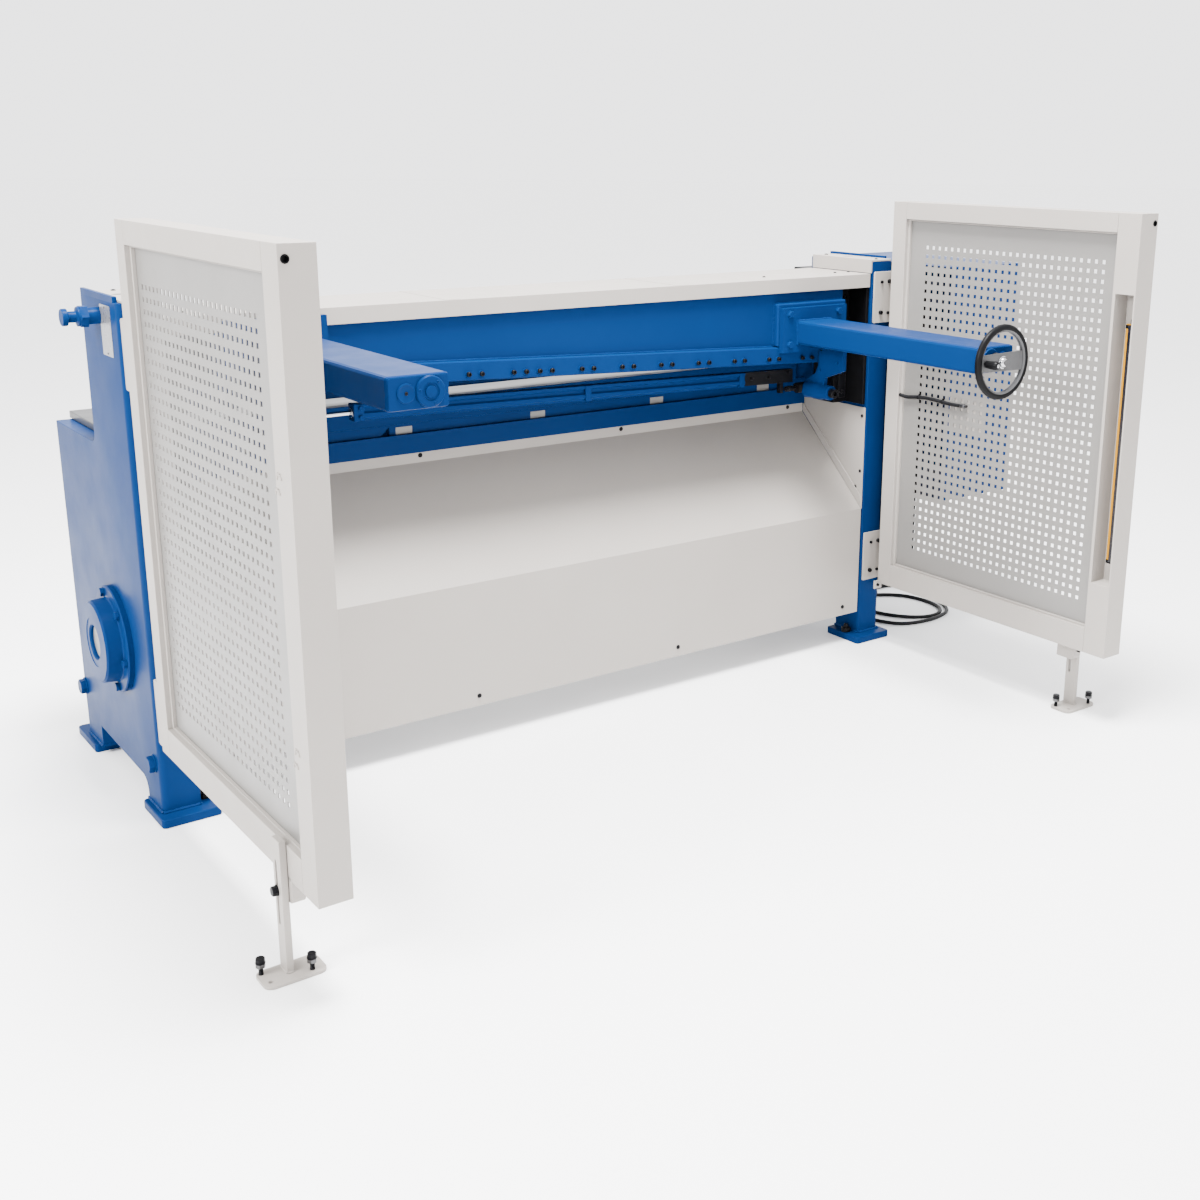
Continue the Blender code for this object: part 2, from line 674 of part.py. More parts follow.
def make_fence_end(mats):
    """Dark end plate at the right of the fence, with a tab down to the link."""
    y0, y1 = FENCE_Y - 0.009, FENCE_Y + 0.013
    section = [(y1, -0.001), (y0, -0.001), (y0, -0.040), (y1, -0.040)]
    end = sloped_bar("fence_end_plate", section, 0.6123, 0.800, mats["dark"])
    z = link_z()
    tab = box("tab", (0.752, FENCE_Y - 0.008, z - 0.012), (0.764, FENCE_Y + 0.008, z + 0.050))
    return boolean(end, tab, "UNION")


def link_z():
    return fence_top(ARM_X) - 0.058


def make_right_link(mats):
    """Chromed link with a ribbed black sleeve between the fence end and the right carriage."""
    z = link_z()
    x0, x1 = 0.7643, 0.8437
    profile = [(x0, 0.0045), (x0 + 0.010, 0.0045), (x0 + 0.014, 0.009), (x0 + 0.022, 0.009)]
    profile += [(x0 + 0.026, 0.0045), (x0 + 0.046, 0.0045), (x0 + 0.046, 0.012), (x1, 0.012)]
    return solid_turned("right_fence_link", profile, "X", (FENCE_Y - 0.012, z), mats["chrome"], 16)


def make_left_rod(mats):
    """Chromed rod between the left end of the fence and the left carriage."""
    z = fence_top(-0.72) - 0.024
    profile = [(-0.8437, 0.0060), (-0.6110, 0.0060), (-0.6110, 0.0130), (-0.6003, 0.0130)]
    return solid_turned("left_fence_rod", profile, "X", (FENCE_Y, z), mats["chrome"], 16)


# ---------------------------------------------------------------- handwheel
def make_handwheel(mats):
    """Round rim, a flat bar across it and a hub on the right lead screw."""
    x, z = SCREW_X, arm_z("right")
    tube = 0.0085
    bm = bmesh.new()
    major, minor = 32, 8
    rings = []
    for i in range(major):
        a = math.tau * i / major
        ring = []
        for j in range(minor):
            b = math.tau * j / minor
            r = WHEEL_R - tube + tube * math.cos(b)
            y = WHEEL_Y + tube * math.sin(b)
            ring.append(bm.verts.new((x + r * math.cos(a), y, z + r * math.sin(a))))
        rings.append(ring)
    for i in range(major):
        for j in range(minor):
            k, m = (i + 1) % major, (j + 1) % minor
            bm.faces.new((rings[i][j], rings[i][m], rings[k][m], rings[k][j]))
    wheel = add("handwheel", bm, mats["black"], (x, WHEEL_Y, z), 50)
    reach = WHEEL_R - tube
    spoke = box("spoke", (x - reach, WHEEL_Y - 0.003, z - 0.0225), (x + reach, WHEEL_Y + 0.003, z + 0.0225))
    boolean(wheel, spoke, "UNION")
    hub = cylinder("hub", "Y", (x, z), 0.021, WHEEL_Y - 0.001, WHEEL_Y + 0.024, sides=20)
    boolean(wheel, hub, "UNION")
    boolean(wheel, cylinder("bore", "Y", (x, z), 0.0084, -0.80, -0.70, sides=16))
    return wheel


def make_grip(mats):
    """Revolving grip near the rim, on an axis parallel to the wheel's."""
    x, z = SCREW_X - 0.062, arm_z("right")
    profile = [(WHEEL_Y - 0.0034, 0.0075), (WHEEL_Y - 0.007, 0.0095), (WHEEL_Y - 0.032, 0.0112)]
    profile += [(WHEEL_Y - 0.041, 0.0100), (WHEEL_Y - 0.044, 0.0065)]
    return solid_turned("handwheel_grip", profile, "Y", (x, z), mats["black"], 16, (x, WHEEL_Y, z))


def make_end_bearing(side, mats):
    """Round bearing cap of the lead screw on the end of an arm."""
    sign, z = SIDES[side], arm_z(side)
    profile = [(ARM_END - GAP, 0.0088), (ARM_END - GAP, 0.030), (ARM_END - 0.003, 0.031)]
    profile += [(ARM_END - 0.006, 0.029), (ARM_END - 0.006, 0.0088)]
    return turned(f"{side}_screw_bearing", profile, "Y", (sign * SCREW_X, z), mats["blue"], 24)


# ---------------------------------------------------------------- side guards
def make_guard(side, mats):
    """Guard frame of box tube with its two brackets and the fixed tab of its leg."""
    x0, x1 = span(side, GUARD_IN, GUARD_OUT)
    low, high = (x0, GUARD_NEAR, GUARD_LOW), (x1, GUARD_FAR, GUARD_HIGH)
    guard = box(f"{side}_guard_frame", low, high, mats["white"])
    opening = box(
        "opening", (x0 - 0.02, GUARD_NEAR + COLUMN, GUARD_LOW + LOW_RAIL),
        (x1 + 0.02, GUARD_FAR - STILE, GUARD_HIGH - TOP_RAIL),
    )
    boolean(guard, opening)
    slot_x = span(side, GUARD_IN - 0.02, CURTAIN_X[1] + 0.0004)
    slot = box("slot", (slot_x[0], GUARD_NEAR + 0.0045, 0.402), (slot_x[1], GUARD_NEAR + 0.0610, 1.176))
    boolean(guard, slot)
    web_x = span(side, 1.139, 1.146)
    plate_x = span(side, 1.0685, 1.146)
    for low, high in ((0.198, 0.354), (1.016, 1.170)):
        web = box("web", (web_x[0], GUARD_FAR - 0.010, low), (web_x[1], -GAP, high))
        boolean(guard, web, "UNION")
        plate = box("plate", (plate_x[0], -0.0063, low), (plate_x[1], -GAP, high))
        boolean(guard, plate, "UNION")
    tab_x = span(side, 1.128, GUARD_OUT)
    boolean(guard, box("tab", (tab_x[0], -0.798, 0.150), (tab_x[1], -0.737, 0.205)), "UNION")
    cable_hole = cylinder(
        "cable_hole", "Y", (SIDES[side] * 1.1425, 1.3548), 0.0065, GUARD_NEAR - 0.01,
        GUARD_NEAR + 0.012, sides=16,
    )
    return boolean(guard, cable_hole)


def make_guard_sheet(side, mats):
    """Perforated panel; this solid is its plain outer shape."""
    x0, x1 = span(side, SHEET_X[side] - 0.001, SHEET_X[side] + 0.001)
    return box(
        f"{side}_guard_sheet", (x0, GUARD_NEAR + COLUMN + GAP, GUARD_LOW + LOW_RAIL + GAP),
        (x1, GUARD_FAR - STILE - GAP, GUARD_HIGH - TOP_RAIL - GAP), mats["white"],
    )


def make_light_curtain(side, mats):
    """Light curtain housing at the back of the slot in the near column."""
    x0, x1 = span(side, *CURTAIN_X)
    low, high = (x0, GUARD_NEAR + 0.010, 0.4580), (x1, GUARD_NEAR + 0.041, 1.1140)
    return bevel(box(f"{side}_light_curtain", low, high, mats["yellow"]), 0.002)


def make_leg(side, mats):
    """Slotted leg of a guard, welded on its base plate."""
    sign = SIDES[side]
    leg_x = span(side, GUARD_OUT + 0.0013, GUARD_OUT + 0.0150)
    leg = box(f"{side}_guard_leg", (leg_x[0], -0.786, 0.0), (leg_x[1], -0.751, 0.280), mats["white"])
    plate_x = span(side, 1.098, 1.222)
    plate = box("base", (plate_x[0], -0.815, 0.0), (plate_x[1], -0.745, 0.0062))
    boolean(leg, plate, "UNION")
    slot = box("slot", (leg_x[0] - 0.01, -0.767, 0.100), (leg_x[1] + 0.01, -0.759, 0.235))
    boolean(leg, slot)
    for x, y in LEG_BOLTS[side]:
        boolean(leg, cylinder("hole", "Z", (x, y), 0.0052, -0.01, 0.02, sides=12))
    return leg


# ---------------------------------------------------------------- drive on the right side
def shell(name, low, high, wall, mat, slope=0.0):
    """A box open towards -X."""
    (x0, y0, z0), (x1, y1, z1) = low, high
    body = box(name, low, high, mat)
    inside = box("inside", (x0 - 0.02, y0 + wall, z0 + wall), (x1 - wall, y1 - wall, z1 - wall))
    return boolean(body, inside)


def make_belt_guard(mats):
    guard = shell("belt_guard", (BELT_X[0], -0.050, 0.170), (BELT_X[1], 0.460, 1.150), 0.004, mats["dark"])
    motor_hole = cylinder("motor_hole", "X", (MOTOR_Y, MOTOR_Z), 0.024, 1.20, 1.30, sides=20)
    return boolean(guard, motor_hole)


def make_motor_cover(mats):
    low, high = zip(COVER_X, COVER_Y, COVER_Z)
    cover = shell("motor_cover", low, high, 0.004, mats["blue"])
    return boolean(cover, cylinder("gland_hole", "Z", (1.360, 0.300), 0.0125, 0.44, 0.48, sides=16))


def make_motor(mats):
    profile = [(1.2485, 0.070), (1.2620, 0.092), (1.4600, 0.092), (1.5000, 0.080), (1.5100, 0.060)]
    return solid_turned("drive_motor", profile, "X", (MOTOR_Y, MOTOR_Z), mats["dark"], 24)


def make_motor_pulley(mats):
    profile = [(1.2070, PULLEY_R), (1.2350, PULLEY_R), (1.2350, 0.012), (1.2480, 0.012)]
    return solid_turned(
        "motor_pulley", profile, "X", (MOTOR_Y, MOTOR_Z), mats["steel"], 20, (1.221, MOTOR_Y, MOTOR_Z)
    )


def make_flywheel(mats):
    r = FLYWHEEL_R
    profile = [(1.2065, 0.0212), (1.2065, 0.045), (1.2120, 0.050), (1.2120, r - 0.030), (1.2070, r - 0.026)]
    profile += [(1.2070, r), (1.2350, r), (1.2350, r - 0.026), (1.2300, r - 0.030), (1.2300, 0.050)]
    profile += [(1.2400, 0.045), (1.2400, 0.0212)]
    return turned("flywheel", profile, "X", (SHAFT_Y, SHAFT_Z), mats["dark"], 36, (1.221, SHAFT_Y, SHAFT_Z))


def belt_loop(extra):
    """Outline (y, z) round both pulleys, extra outside their rims, as two arcs and two tangents."""
    dy, dz = MOTOR_Y - SHAFT_Y, MOTOR_Z - SHAFT_Z
    heading = math.degrees(math.atan2(dz, dy))
    lean = math.degrees(math.acos((FLYWHEEL_R - PULLEY_R) / math.hypot(dy, dz)))
    small = arc((MOTOR_Y, MOTOR_Z), PULLEY_R + extra, heading - lean, heading + lean, 13)
    large = arc((SHAFT_Y, SHAFT_Z), FLYWHEEL_R + extra, heading + lean, heading + 360 - lean, 33)
    return small + large


def make_belt(mats):
    """V-belt as a closed loop just clear of both rims."""
    inner, outer = belt_loop(0.0012), belt_loop(0.0075)
    bm = bmesh.new()
    loops = [
        [bm.verts.new((x, y, z)) for y, z in ring]
        for x, ring in ((1.214, inner), (1.212, outer), (1.230, outer), (1.228, inner))
    ]
    count = len(inner)
    for low, high in zip(loops, loops[1:] + loops[:1]):
        for i in range(count):
            j = (i + 1) % count
            bm.faces.new((low[i], low[j], high[j], high[i]))
    return add("drive_belt", bm, mats["rubber"], (0, 0, 0), 40)


# ---------------------------------------------------------------- cables
def smooth_route(points, count):
    """A Catmull-Rom curve through the points, read at equal steps of length."""
    pts = [Vector(p) for p in points]
    ends = [2 * pts[0] - pts[1]] + pts + [2 * pts[-1] - pts[-2]]
    dense = []
    for a, b, c, d in zip(ends, ends[1:], ends[2:], ends[3:]):
        for i in range(24):
            t = i / 24
            line = 2 * b + (c - a) * t
            curve = (2 * a - 5 * b + 4 * c - d) * t**2 + (3 * b - a - 3 * c + d) * t**3
            dense.append(0.5 * (line + curve))
    dense.append(pts[-1])
    lengths = [0.0]
    for p, q in zip(dense, dense[1:]):
        lengths.append(lengths[-1] + (q - p).length)
    result, k = [], 0
    for i in range(count):
        target = lengths[-1] * i / (count - 1)
        while k < len(dense) - 2 and lengths[k + 1] < target:
            k += 1
        part = (target - lengths[k]) / (lengths[k + 1] - lengths[k])
        result.append(dense[k].lerp(dense[k + 1], part))
    return result


def tube(name, points, radius, mat, resolution=2):
    curve = bpy.data.curves.new(name, "CURVE")
    curve.dimensions = "3D"
    curve.bevel_depth = radius
    curve.bevel_resolution = resolution
    curve.use_fill_caps = True
    spline = curve.splines.new("POLY")
    spline.points.add(len(points) - 1)
    for point, place in zip(spline.points, points):
        point.co = (*place, 1.0)
    curve.materials.append(mat)
    obj = bpy.data.objects.new(name, curve)
    bpy.context.scene.collection.objects.link(obj)
    return obj


FLOOR = CABLE_R + 0.0004
CROSSING = FLOOR + 2 * CABLE_R + 0.0008

# out of the gland, down to the floor, two turns, over the outer turn and away to the plug
SUPPLY_ROUTE = [
    (1.360, 0.300, 0.4275), (1.360, 0.300, 0.400), (1.359, 0.301, 0.330), (1.358, 0.304, 0.250),
    (1.358, 0.309, 0.170), (1.363, 0.318, 0.100), (1.380, 0.332, 0.045), (1.412, 0.346, 0.014),
    (1.452, 0.354, FLOOR), (1.500, 0.357, FLOOR), (1.550, 0.350, FLOOR), (1.587, 0.331, FLOOR),
    (1.603, 0.297, FLOOR), (1.600, 0.250, FLOOR), (1.583, 0.190, FLOOR), (1.565, 0.130, FLOOR),
    (1.540, 0.072, FLOOR), (1.503, 0.024, FLOOR), (1.450, 0.000, FLOOR), (1.385, -0.010, FLOOR),
    (1.320, -0.003, FLOOR), (1.270, 0.022, FLOOR), (1.238, 0.075, FLOOR), (1.226, 0.135, FLOOR),
    (1.234, 0.195, FLOOR), (1.262, 0.247, FLOOR), (1.310, 0.283, FLOOR), (1.370, 0.300, FLOOR),
    (1.420, 0.297, FLOOR), (1.465, 0.272, FLOOR), (1.500, 0.235, FLOOR), (1.518, 0.190, FLOOR),
    (1.524, 0.130, FLOOR), (1.510, 0.070, FLOOR), (1.472, 0.028, FLOOR), (1.418, 0.016, FLOOR),
    (1.366, 0.036, FLOOR), (1.325, 0.080, FLOOR), (1.299, 0.132, FLOOR), (1.289, 0.180, FLOOR),
    (1.287, 0.215, 0.0085), (1.288, 0.250, CROSSING), (1.290, 0.290, CROSSING), (1.292, 0.330, 0.0085),
    (1.296, 0.370, FLOOR), (1.303, 0.412, FLOOR), (1.310, 0.444, 0.0105), (1.318, 0.474, 0.0220),
    (1.326, 0.501, 0.0295), (1.3347, 0.5291, 0.0305),
]
PLUG_FROM = (1.3352, 0.5306, 0.0305)
PLUG_WAY = (0.325, 0.9457, 0.0)


def make_supply_cable(mats):
    return tube("supply_cable", smooth_route(SUPPLY_ROUTE, 80), CABLE_R, mats["rubber"])


def make_plug(mats):
    """Round industrial plug, lying on the floor at the end of the cable."""
    start, way = Vector(PLUG_FROM), Vector(PLUG_WAY).normalized()
    across, up = way.cross((0, 0, 1)), Vector((0, 0, 1))
    bm = bmesh.new()
    rings = []
    steps = [(0, 0.011), (0.024, 0.017), (0.030, 0.022), (0.062, 0.0255), (0.070, 0.0300), (0.118, 0.0300)]
    for along, radius in steps:
        middle = start + way * along
        angles = [math.tau * i / 20 for i in range(20)]
        ring = [middle + (across * math.cos(a) + up * math.sin(a)) * radius for a in angles]
        rings.append([bm.verts.new(p) for p in ring])
    bm.faces.new(rings[0])
    bm.faces.new(rings[-1])
    for low, high in zip(rings, rings[1:]):
        for i in range(20):
            j = (i + 1) % 20
            bm.faces.new((low[i], low[j], high[j], high[i]))
    return add("supply_plug", bm, mats["black"], (0, 0, 0), 35)


def make_gland(mats):
    """Cable gland under the motor cover, with its tapered strain relief."""
    outline = arc((0, 0), 1.0, 0, 330, 12)
    bm = bmesh.new()
    rings = []
    steps = [(0.4630, 0.0115), (0.4587, 0.0115), (0.4587, 0.0170), (0.4500, 0.0170), (0.4440, 0.0120)]
    steps += [(0.4280, 0.0085)]
    for z, r in steps:
        rings.append([bm.verts.new((1.360 + r * a, 0.300 + r * b, z)) for a, b in outline])
    bm.faces.new(rings[0])
    bm.faces.new(rings[-1])
    for low, high in zip(rings, rings[1:]):
        for i in range(12):
            j = (i + 1) % 12
            bm.faces.new((low[i], low[j], high[j], high[i]))
    return add("supply_gland", bm, mats["black"], (0, 0, 0), 35)


CURTAIN_ROUTE = [
    (1.0940, -0.1080, 0.8085), (1.0940, -0.1160, 0.8078), (1.0955, -0.1270, 0.8060),
    (1.0978, -0.1400, 0.8055), (1.0985, -0.1560, 0.8078), (1.0985, -0.1880, 0.8112),
    (1.0985, -0.2280, 0.8126), (1.0985, -0.2700, 0.8105), (1.0985, -0.3100, 0.8083),
    (1.0985, -0.3360, 0.8085), (1.0985, -0.3560, 0.8095),
]


def make_curtain_cable(mats):
    return tube("curtain_cable", smooth_route(CURTAIN_ROUTE, 22), 0.0055, mats["rubber"])


# ---------------------------------------------------------------- assembly
def make_machine(mats):
    pieces = []
    for side in SIDES:
        pieces += [
            make_frame(side, mats), make_cap(side, mats), make_bearing(side, mats), make_cheek(side, mats),
            make_yoke(side, mats), make_pad(side, mats), make_arm(side, mats), make_screw(side, mats),
            make_guide_rod(side, mats), make_carriage(side, mats), make_end_bearing(side, mats),
            make_guard(side, mats), make_guard_sheet(side, mats), make_light_curtain(side, mats),
            make_leg(side, mats),
        ]
    pieces += [
        make_lifting_pin("left", mats), make_top_cover(mats), make_table_top(mats), make_rear_plate(mats),
        make_front_plate(mats), make_lower_blade(mats), make_chute(mats),
        make_ram(mats), make_holder_bar(mats), make_upper_blade(mats), make_shaft(mats),
        make_hold_down(mats), make_hold_down_beam(mats), make_sync_shaft(mats), make_fence(mats),
        make_fence_end(mats), make_right_link(mats), make_left_rod(mats), make_handwheel(mats),
        make_grip(mats), make_belt_guard(mats), make_motor_cover(mats), make_motor(mats),
        make_motor_pulley(mats), make_flywheel(mats), make_belt(mats), make_supply_cable(mats),
        make_gland(mats), make_plug(mats), make_curtain_cable(mats),
    ]
    return pieces


def main():
    clear_scene()
    pieces = make_machine(make_materials())
    origin = bpy.data.objects.new("machine_origin", None)
    bpy.context.scene.collection.objects.link(origin)
    for piece in pieces:
        piece.parent = origin
    origin.location = (-sum(FOOTPRINT_X) / 2, -sum(FOOTPRINT_Y) / 2, 0)


main()
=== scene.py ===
"""Looks of a motorised guillotine shear seen from its rear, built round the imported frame.

Everything is made in machine coordinates, in metres: X from the middle of the machine, Y from
the rear faces of the side frames with -Y to the rear, Z from the floor. ORIGIN is the place of
that zero point in the frame's own coordinates.
"""

import math

import bmesh
import bpy
from mathutils import Matrix, Vector


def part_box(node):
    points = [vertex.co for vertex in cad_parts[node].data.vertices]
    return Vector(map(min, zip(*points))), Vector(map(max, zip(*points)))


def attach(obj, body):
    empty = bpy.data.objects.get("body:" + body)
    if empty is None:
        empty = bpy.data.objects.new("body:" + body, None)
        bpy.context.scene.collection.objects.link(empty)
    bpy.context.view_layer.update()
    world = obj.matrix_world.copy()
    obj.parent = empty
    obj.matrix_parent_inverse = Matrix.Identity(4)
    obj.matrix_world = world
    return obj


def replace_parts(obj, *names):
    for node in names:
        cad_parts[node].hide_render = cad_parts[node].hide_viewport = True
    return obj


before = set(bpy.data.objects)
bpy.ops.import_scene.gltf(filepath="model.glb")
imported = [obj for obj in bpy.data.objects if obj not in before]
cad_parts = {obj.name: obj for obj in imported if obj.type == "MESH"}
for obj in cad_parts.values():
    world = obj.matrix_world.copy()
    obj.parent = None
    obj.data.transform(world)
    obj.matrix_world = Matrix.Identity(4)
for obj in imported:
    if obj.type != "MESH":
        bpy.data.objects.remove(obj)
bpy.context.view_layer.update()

# ---------------------------------------------------------------- places taken from the frame
ORIGIN = Vector((
    (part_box("left_side_frame")[0].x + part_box("right_side_frame")[1].x) / 2,
    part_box("ram_top_cover")[0].y,
    0.0,
))


def machine_box(node):
    low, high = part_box(node)
    return low - ORIGIN, high - ORIGIN


SIDES = {"left": -1, "right": 1}
GAP = 0.0003
FRAME_OUT = machine_box("right_flange_bearing")[0].x - GAP
FRAME_IN = machine_box("right_chute_cheek")[1].x + 0.0005
FRAME_FOOT_OUT = machine_box("right_side_frame")[1].x
FRAME_TOP = machine_box("right_top_cap")[1].z - 0.006
FRAME_LIP = machine_box("right_side_frame")[1].z
FRAME_NECK = 0.275
FRAME_DEPTH = 0.615
SHOULDER_Z = machine_box("table_top")[0].z - GAP
FOOT_THICK = 0.022
FOOT_Y = ((-0.038, 0.108), (0.500, 0.665))
FOOT_X = (1.025, FRAME_FOOT_OUT)

SHAFT_Y, SHAFT_Z = 0.245, 0.385
RAKE = 0.0419
BAR_MID_Z = 0.9503
BAR_REAR = machine_box("blade_holder_bar")[0].y
ARM_X, ARM_WIDE, ARM_HIGH = 0.813, 0.133, 0.068
ARM_END = machine_box("left_gauge_arm")[0].y
SCREW_X, ROD_X = 0.790, 0.840
ARM_MID_Z = 1.0457
FENCE_Y = 0.060
FENCE_MID_TOP, FENCE_RAKE = 0.9105, 0.0226

WHEEL_LOW, WHEEL_HIGH = machine_box("handwheel")
WHEEL_Y = -0.758
WHEEL_Z = (WHEEL_LOW.z + WHEEL_HIGH.z) / 2
WHEEL_R = (WHEEL_HIGH.z - WHEEL_LOW.z) / 2

GUARD_IN, GUARD_OUT = 1.087, 1.155
GUARD_NEAR = machine_box("right_guard_frame")[0].y
GUARD_HIGH = machine_box("right_guard_frame")[1].z
GUARD_LOW, GUARD_FAR = 0.200, -0.055
STILE, COLUMN, TOP_RAIL, LOW_RAIL = 0.052, 0.070, 0.050, 0.070
SLOT_Y = (GUARD_NEAR + 0.0045, GUARD_NEAR + 0.0610)
SLOT_Z = (0.402, 1.176)
STILE_Y = GUARD_FAR - STILE
BRACKET_Z = ((0.198, 0.354), (1.016, 1.170))
BRACKET_FACE = -0.0063
GROMMET_X, GROMMET_Z = 1.1425, 1.3548


REAR, UP = (0, -1, 0), (0, 0, 1)


def arm_z(side):
    return ARM_MID_Z - RAKE * SIDES[side] * ARM_X


def span(side, near, far):
    """The two x values between near and far from the middle on one side, low one first."""
    return sorted((SIDES[side] * near, SIDES[side] * far))


# ---------------------------------------------------------------- camera, lights, floor
CAMERA_PLACE = Vector((-2.0413, -3.1846, 1.5381))
CAMERA_HEADING = math.radians(37.294)
CAMERA_TILT = math.radians(14.99)
CAMERA_ROLL = math.radians(0.53)
CAMERA_LENS = 43.343
CAMERA_SHIFT = (-0.0760, -0.0576)
FLOOR_RADIUS = 60.0


def make_camera():
    data = bpy.data.cameras.new("camera")
    data.lens = CAMERA_LENS
    data.sensor_width = 36.0
    data.shift_x, data.shift_y = CAMERA_SHIFT
    camera = bpy.data.objects.new("camera", data)
    bpy.context.scene.collection.objects.link(camera)
    turn = Matrix.Rotation(-CAMERA_HEADING, 4, "Z")
    turn = turn @ Matrix.Rotation(math.pi / 2 - CAMERA_TILT, 4, "X")
    turn = turn @ Matrix.Rotation(CAMERA_ROLL, 4, "Z")
    camera.matrix_world = Matrix.Translation(ORIGIN + CAMERA_PLACE) @ turn
    bpy.context.scene.camera = camera


def make_world(strength=3.8):
    world = bpy.data.worlds.new("studio")
    world.use_nodes = True
    tree = world.node_tree
    ground = tree.nodes["Background"]
    place = tree.nodes.new("ShaderNodeTexCoord")
    split = tree.nodes.new("ShaderNodeSeparateXYZ")
    ramp = tree.nodes.new("ShaderNodeValToRGB")
    tree.links.new(place.outputs["Generated"], split.inputs[0])
    tree.links.new(split.outputs["Z"], ramp.inputs[0])
    ramp.color_ramp.elements[0].position = 0.18
    ramp.color_ramp.elements[0].color = (0.82, 0.82, 0.83, 1)
    ramp.color_ramp.elements[1].position = 0.80
    ramp.color_ramp.elements[1].color = (1.0, 1.0, 1.0, 1)
    tree.links.new(ramp.outputs[0], ground.inputs["Color"])
    ground.inputs["Strength"].default_value = strength
    bpy.context.scene.world = world


def make_light(name, place, aim_at, size, power):
    data = bpy.data.lights.new(name, "AREA")
    data.shape = "DISK"
    data.size = size
    data.energy = power
    light = bpy.data.objects.new(name, data)
    bpy.context.scene.collection.objects.link(light)
    way = Vector(aim_at) - Vector(place)
    turn = way.to_track_quat("-Z", "Y").to_matrix().to_4x4()
    light.matrix_world = Matrix.Translation(ORIGIN + Vector(place)) @ turn


# ---------------------------------------------------------------- materials
def surface(name, colour, tones, rough, grain, metallic=0.0, gloss=0.5, stretch=(1, 1, 1), edge_sheen_and_tint=None):
    """Material with two tones in a large noise and a fine grain in its roughness and bump.

    tones is (scale, darkest share of the colour); rough (low, high); grain (scale, depth in
    metres); the last argument (colour, edge width) lays a second colour along the edges: a painted highlight
    where it is lighter than the paint, a darker edge where it is darker.
    """
    mat = bpy.data.materials.new(name)
    mat.use_nodes = True
    tree = mat.node_tree
    nodes, links = tree.nodes, tree.links
    shader = nodes["Principled BSDF"]
    shader.inputs["Metallic"].default_value = metallic
    shader.inputs["Specular IOR Level"].default_value = gloss
    place = nodes.new("ShaderNodeTexCoord")
    mapping = nodes.new("ShaderNodeMapping")
    mapping.inputs["Scale"].default_value = stretch
    links.new(place.outputs["Object"], mapping.inputs["Vector"])

    def noise(scale, detail):
        found = nodes.new("ShaderNodeTexNoise")
        found.inputs["Scale"].default_value = scale
        found.inputs["Detail"].default_value = detail
        links.new(mapping.outputs[0], found.inputs["Vector"])
        return found.outputs["Fac"]

    def remap(value, from_low, from_high, to_low, to_high):
        found = nodes.new("ShaderNodeMapRange")
        for index, number in enumerate((from_low, from_high, to_low, to_high), start=1):
            found.inputs[index].default_value = number
        links.new(value, found.inputs[0])
        return found.outputs[0]

    def mixed(share, first, second):
        found = nodes.new("ShaderNodeMix")
        found.data_type = "RGBA"
        links.new(share, found.inputs["Factor"])
        for socket, value in ((found.inputs[6], first), (found.inputs[7], second)):
            if isinstance(value, tuple):
                socket.default_value = (*value, 1.0)
            else:
                links.new(value, socket)
        return found.outputs[2]

    dark = tuple(c * tones[1] for c in colour)
    base = mixed(remap(noise(tones[0], 4.0), 0.3, 0.7, 0.0, 1.0), dark, colour)
    fine = noise(grain[0], 2.0)
    wide = noise(tones[0] * 3.1, 3.0)
    roughness = remap(wide, 0.3, 0.7, *rough)
    # second colour along the bevelled edges, broken up by a noise: a painted highlight where it is lighter
    # than the paint, darker edges where it is darker
    if edge_sheen_and_tint:
        edge = nodes.new("ShaderNodeBevel")
        edge.samples = 4
        edge.inputs["Radius"].default_value = edge_sheen_and_tint[1]
        geometry = nodes.new("ShaderNodeNewGeometry")
        dot = nodes.new("ShaderNodeVectorMath")
        dot.operation = "DOT_PRODUCT"
        links.new(edge.outputs[0], dot.inputs[0])
        links.new(geometry.outputs["Normal"], dot.inputs[1])
        edge_share = remap(dot.outputs["Value"], 0.90, 0.985, 1.0, 0.0)
        patchy = remap(noise(38.0, 5.0), 0.42, 0.62, 0.0, 1.0)
        both = nodes.new("ShaderNodeMath")
        both.operation = "MULTIPLY"
        links.new(edge_share, both.inputs[0])
        links.new(patchy, both.inputs[1])
        base = mixed(both.outputs[0], base, edge_sheen_and_tint[0])
    links.new(base, shader.inputs["Base Color"])
    links.new(roughness, shader.inputs["Roughness"])
    bump = nodes.new("ShaderNodeBump")
    bump.inputs["Strength"].default_value = 1.0
    bump.inputs["Distance"].default_value = grain[1]
    links.new(fine, bump.inputs["Height"])
    links.new(bump.outputs[0], shader.inputs["Normal"])
    return mat


def blue_paint():
    # its second colour, a lighter blue along the edges, is a painted highlight
    return surface(
        "blue_enamel", (0.0006, 0.0165, 0.073), (4.0, 0.93), (0.30, 0.38), (300.0, 0.00002),
        gloss=0.03, edge_sheen_and_tint=((0.002, 0.026, 0.098), 0.0010),
    )


def white_paint():
    # its second colour makes the edges a little darker
    return surface(
        "white_powder_coat", (0.275, 0.252, 0.230), (3.5, 0.955), (0.40, 0.50), (900.0, 0.00005),
        gloss=0.2, edge_sheen_and_tint=((0.240, 0.225, 0.205), 0.0014),
    )


def sheet_paint():
    return surface(
        "grey_white_sheet", (0.140, 0.134, 0.126), (2.5, 0.94), (0.34, 0.42), (700.0, 0.00004),
        gloss=0.5,
    )


def machined_steel():
    return surface(
        "ground_steel", (0.095, 0.094, 0.096), (9.0, 0.90), (0.32, 0.40), (260.0, 0.00002),
        metallic=1.0, stretch=(0.15, 1.0, 1.0),
    )


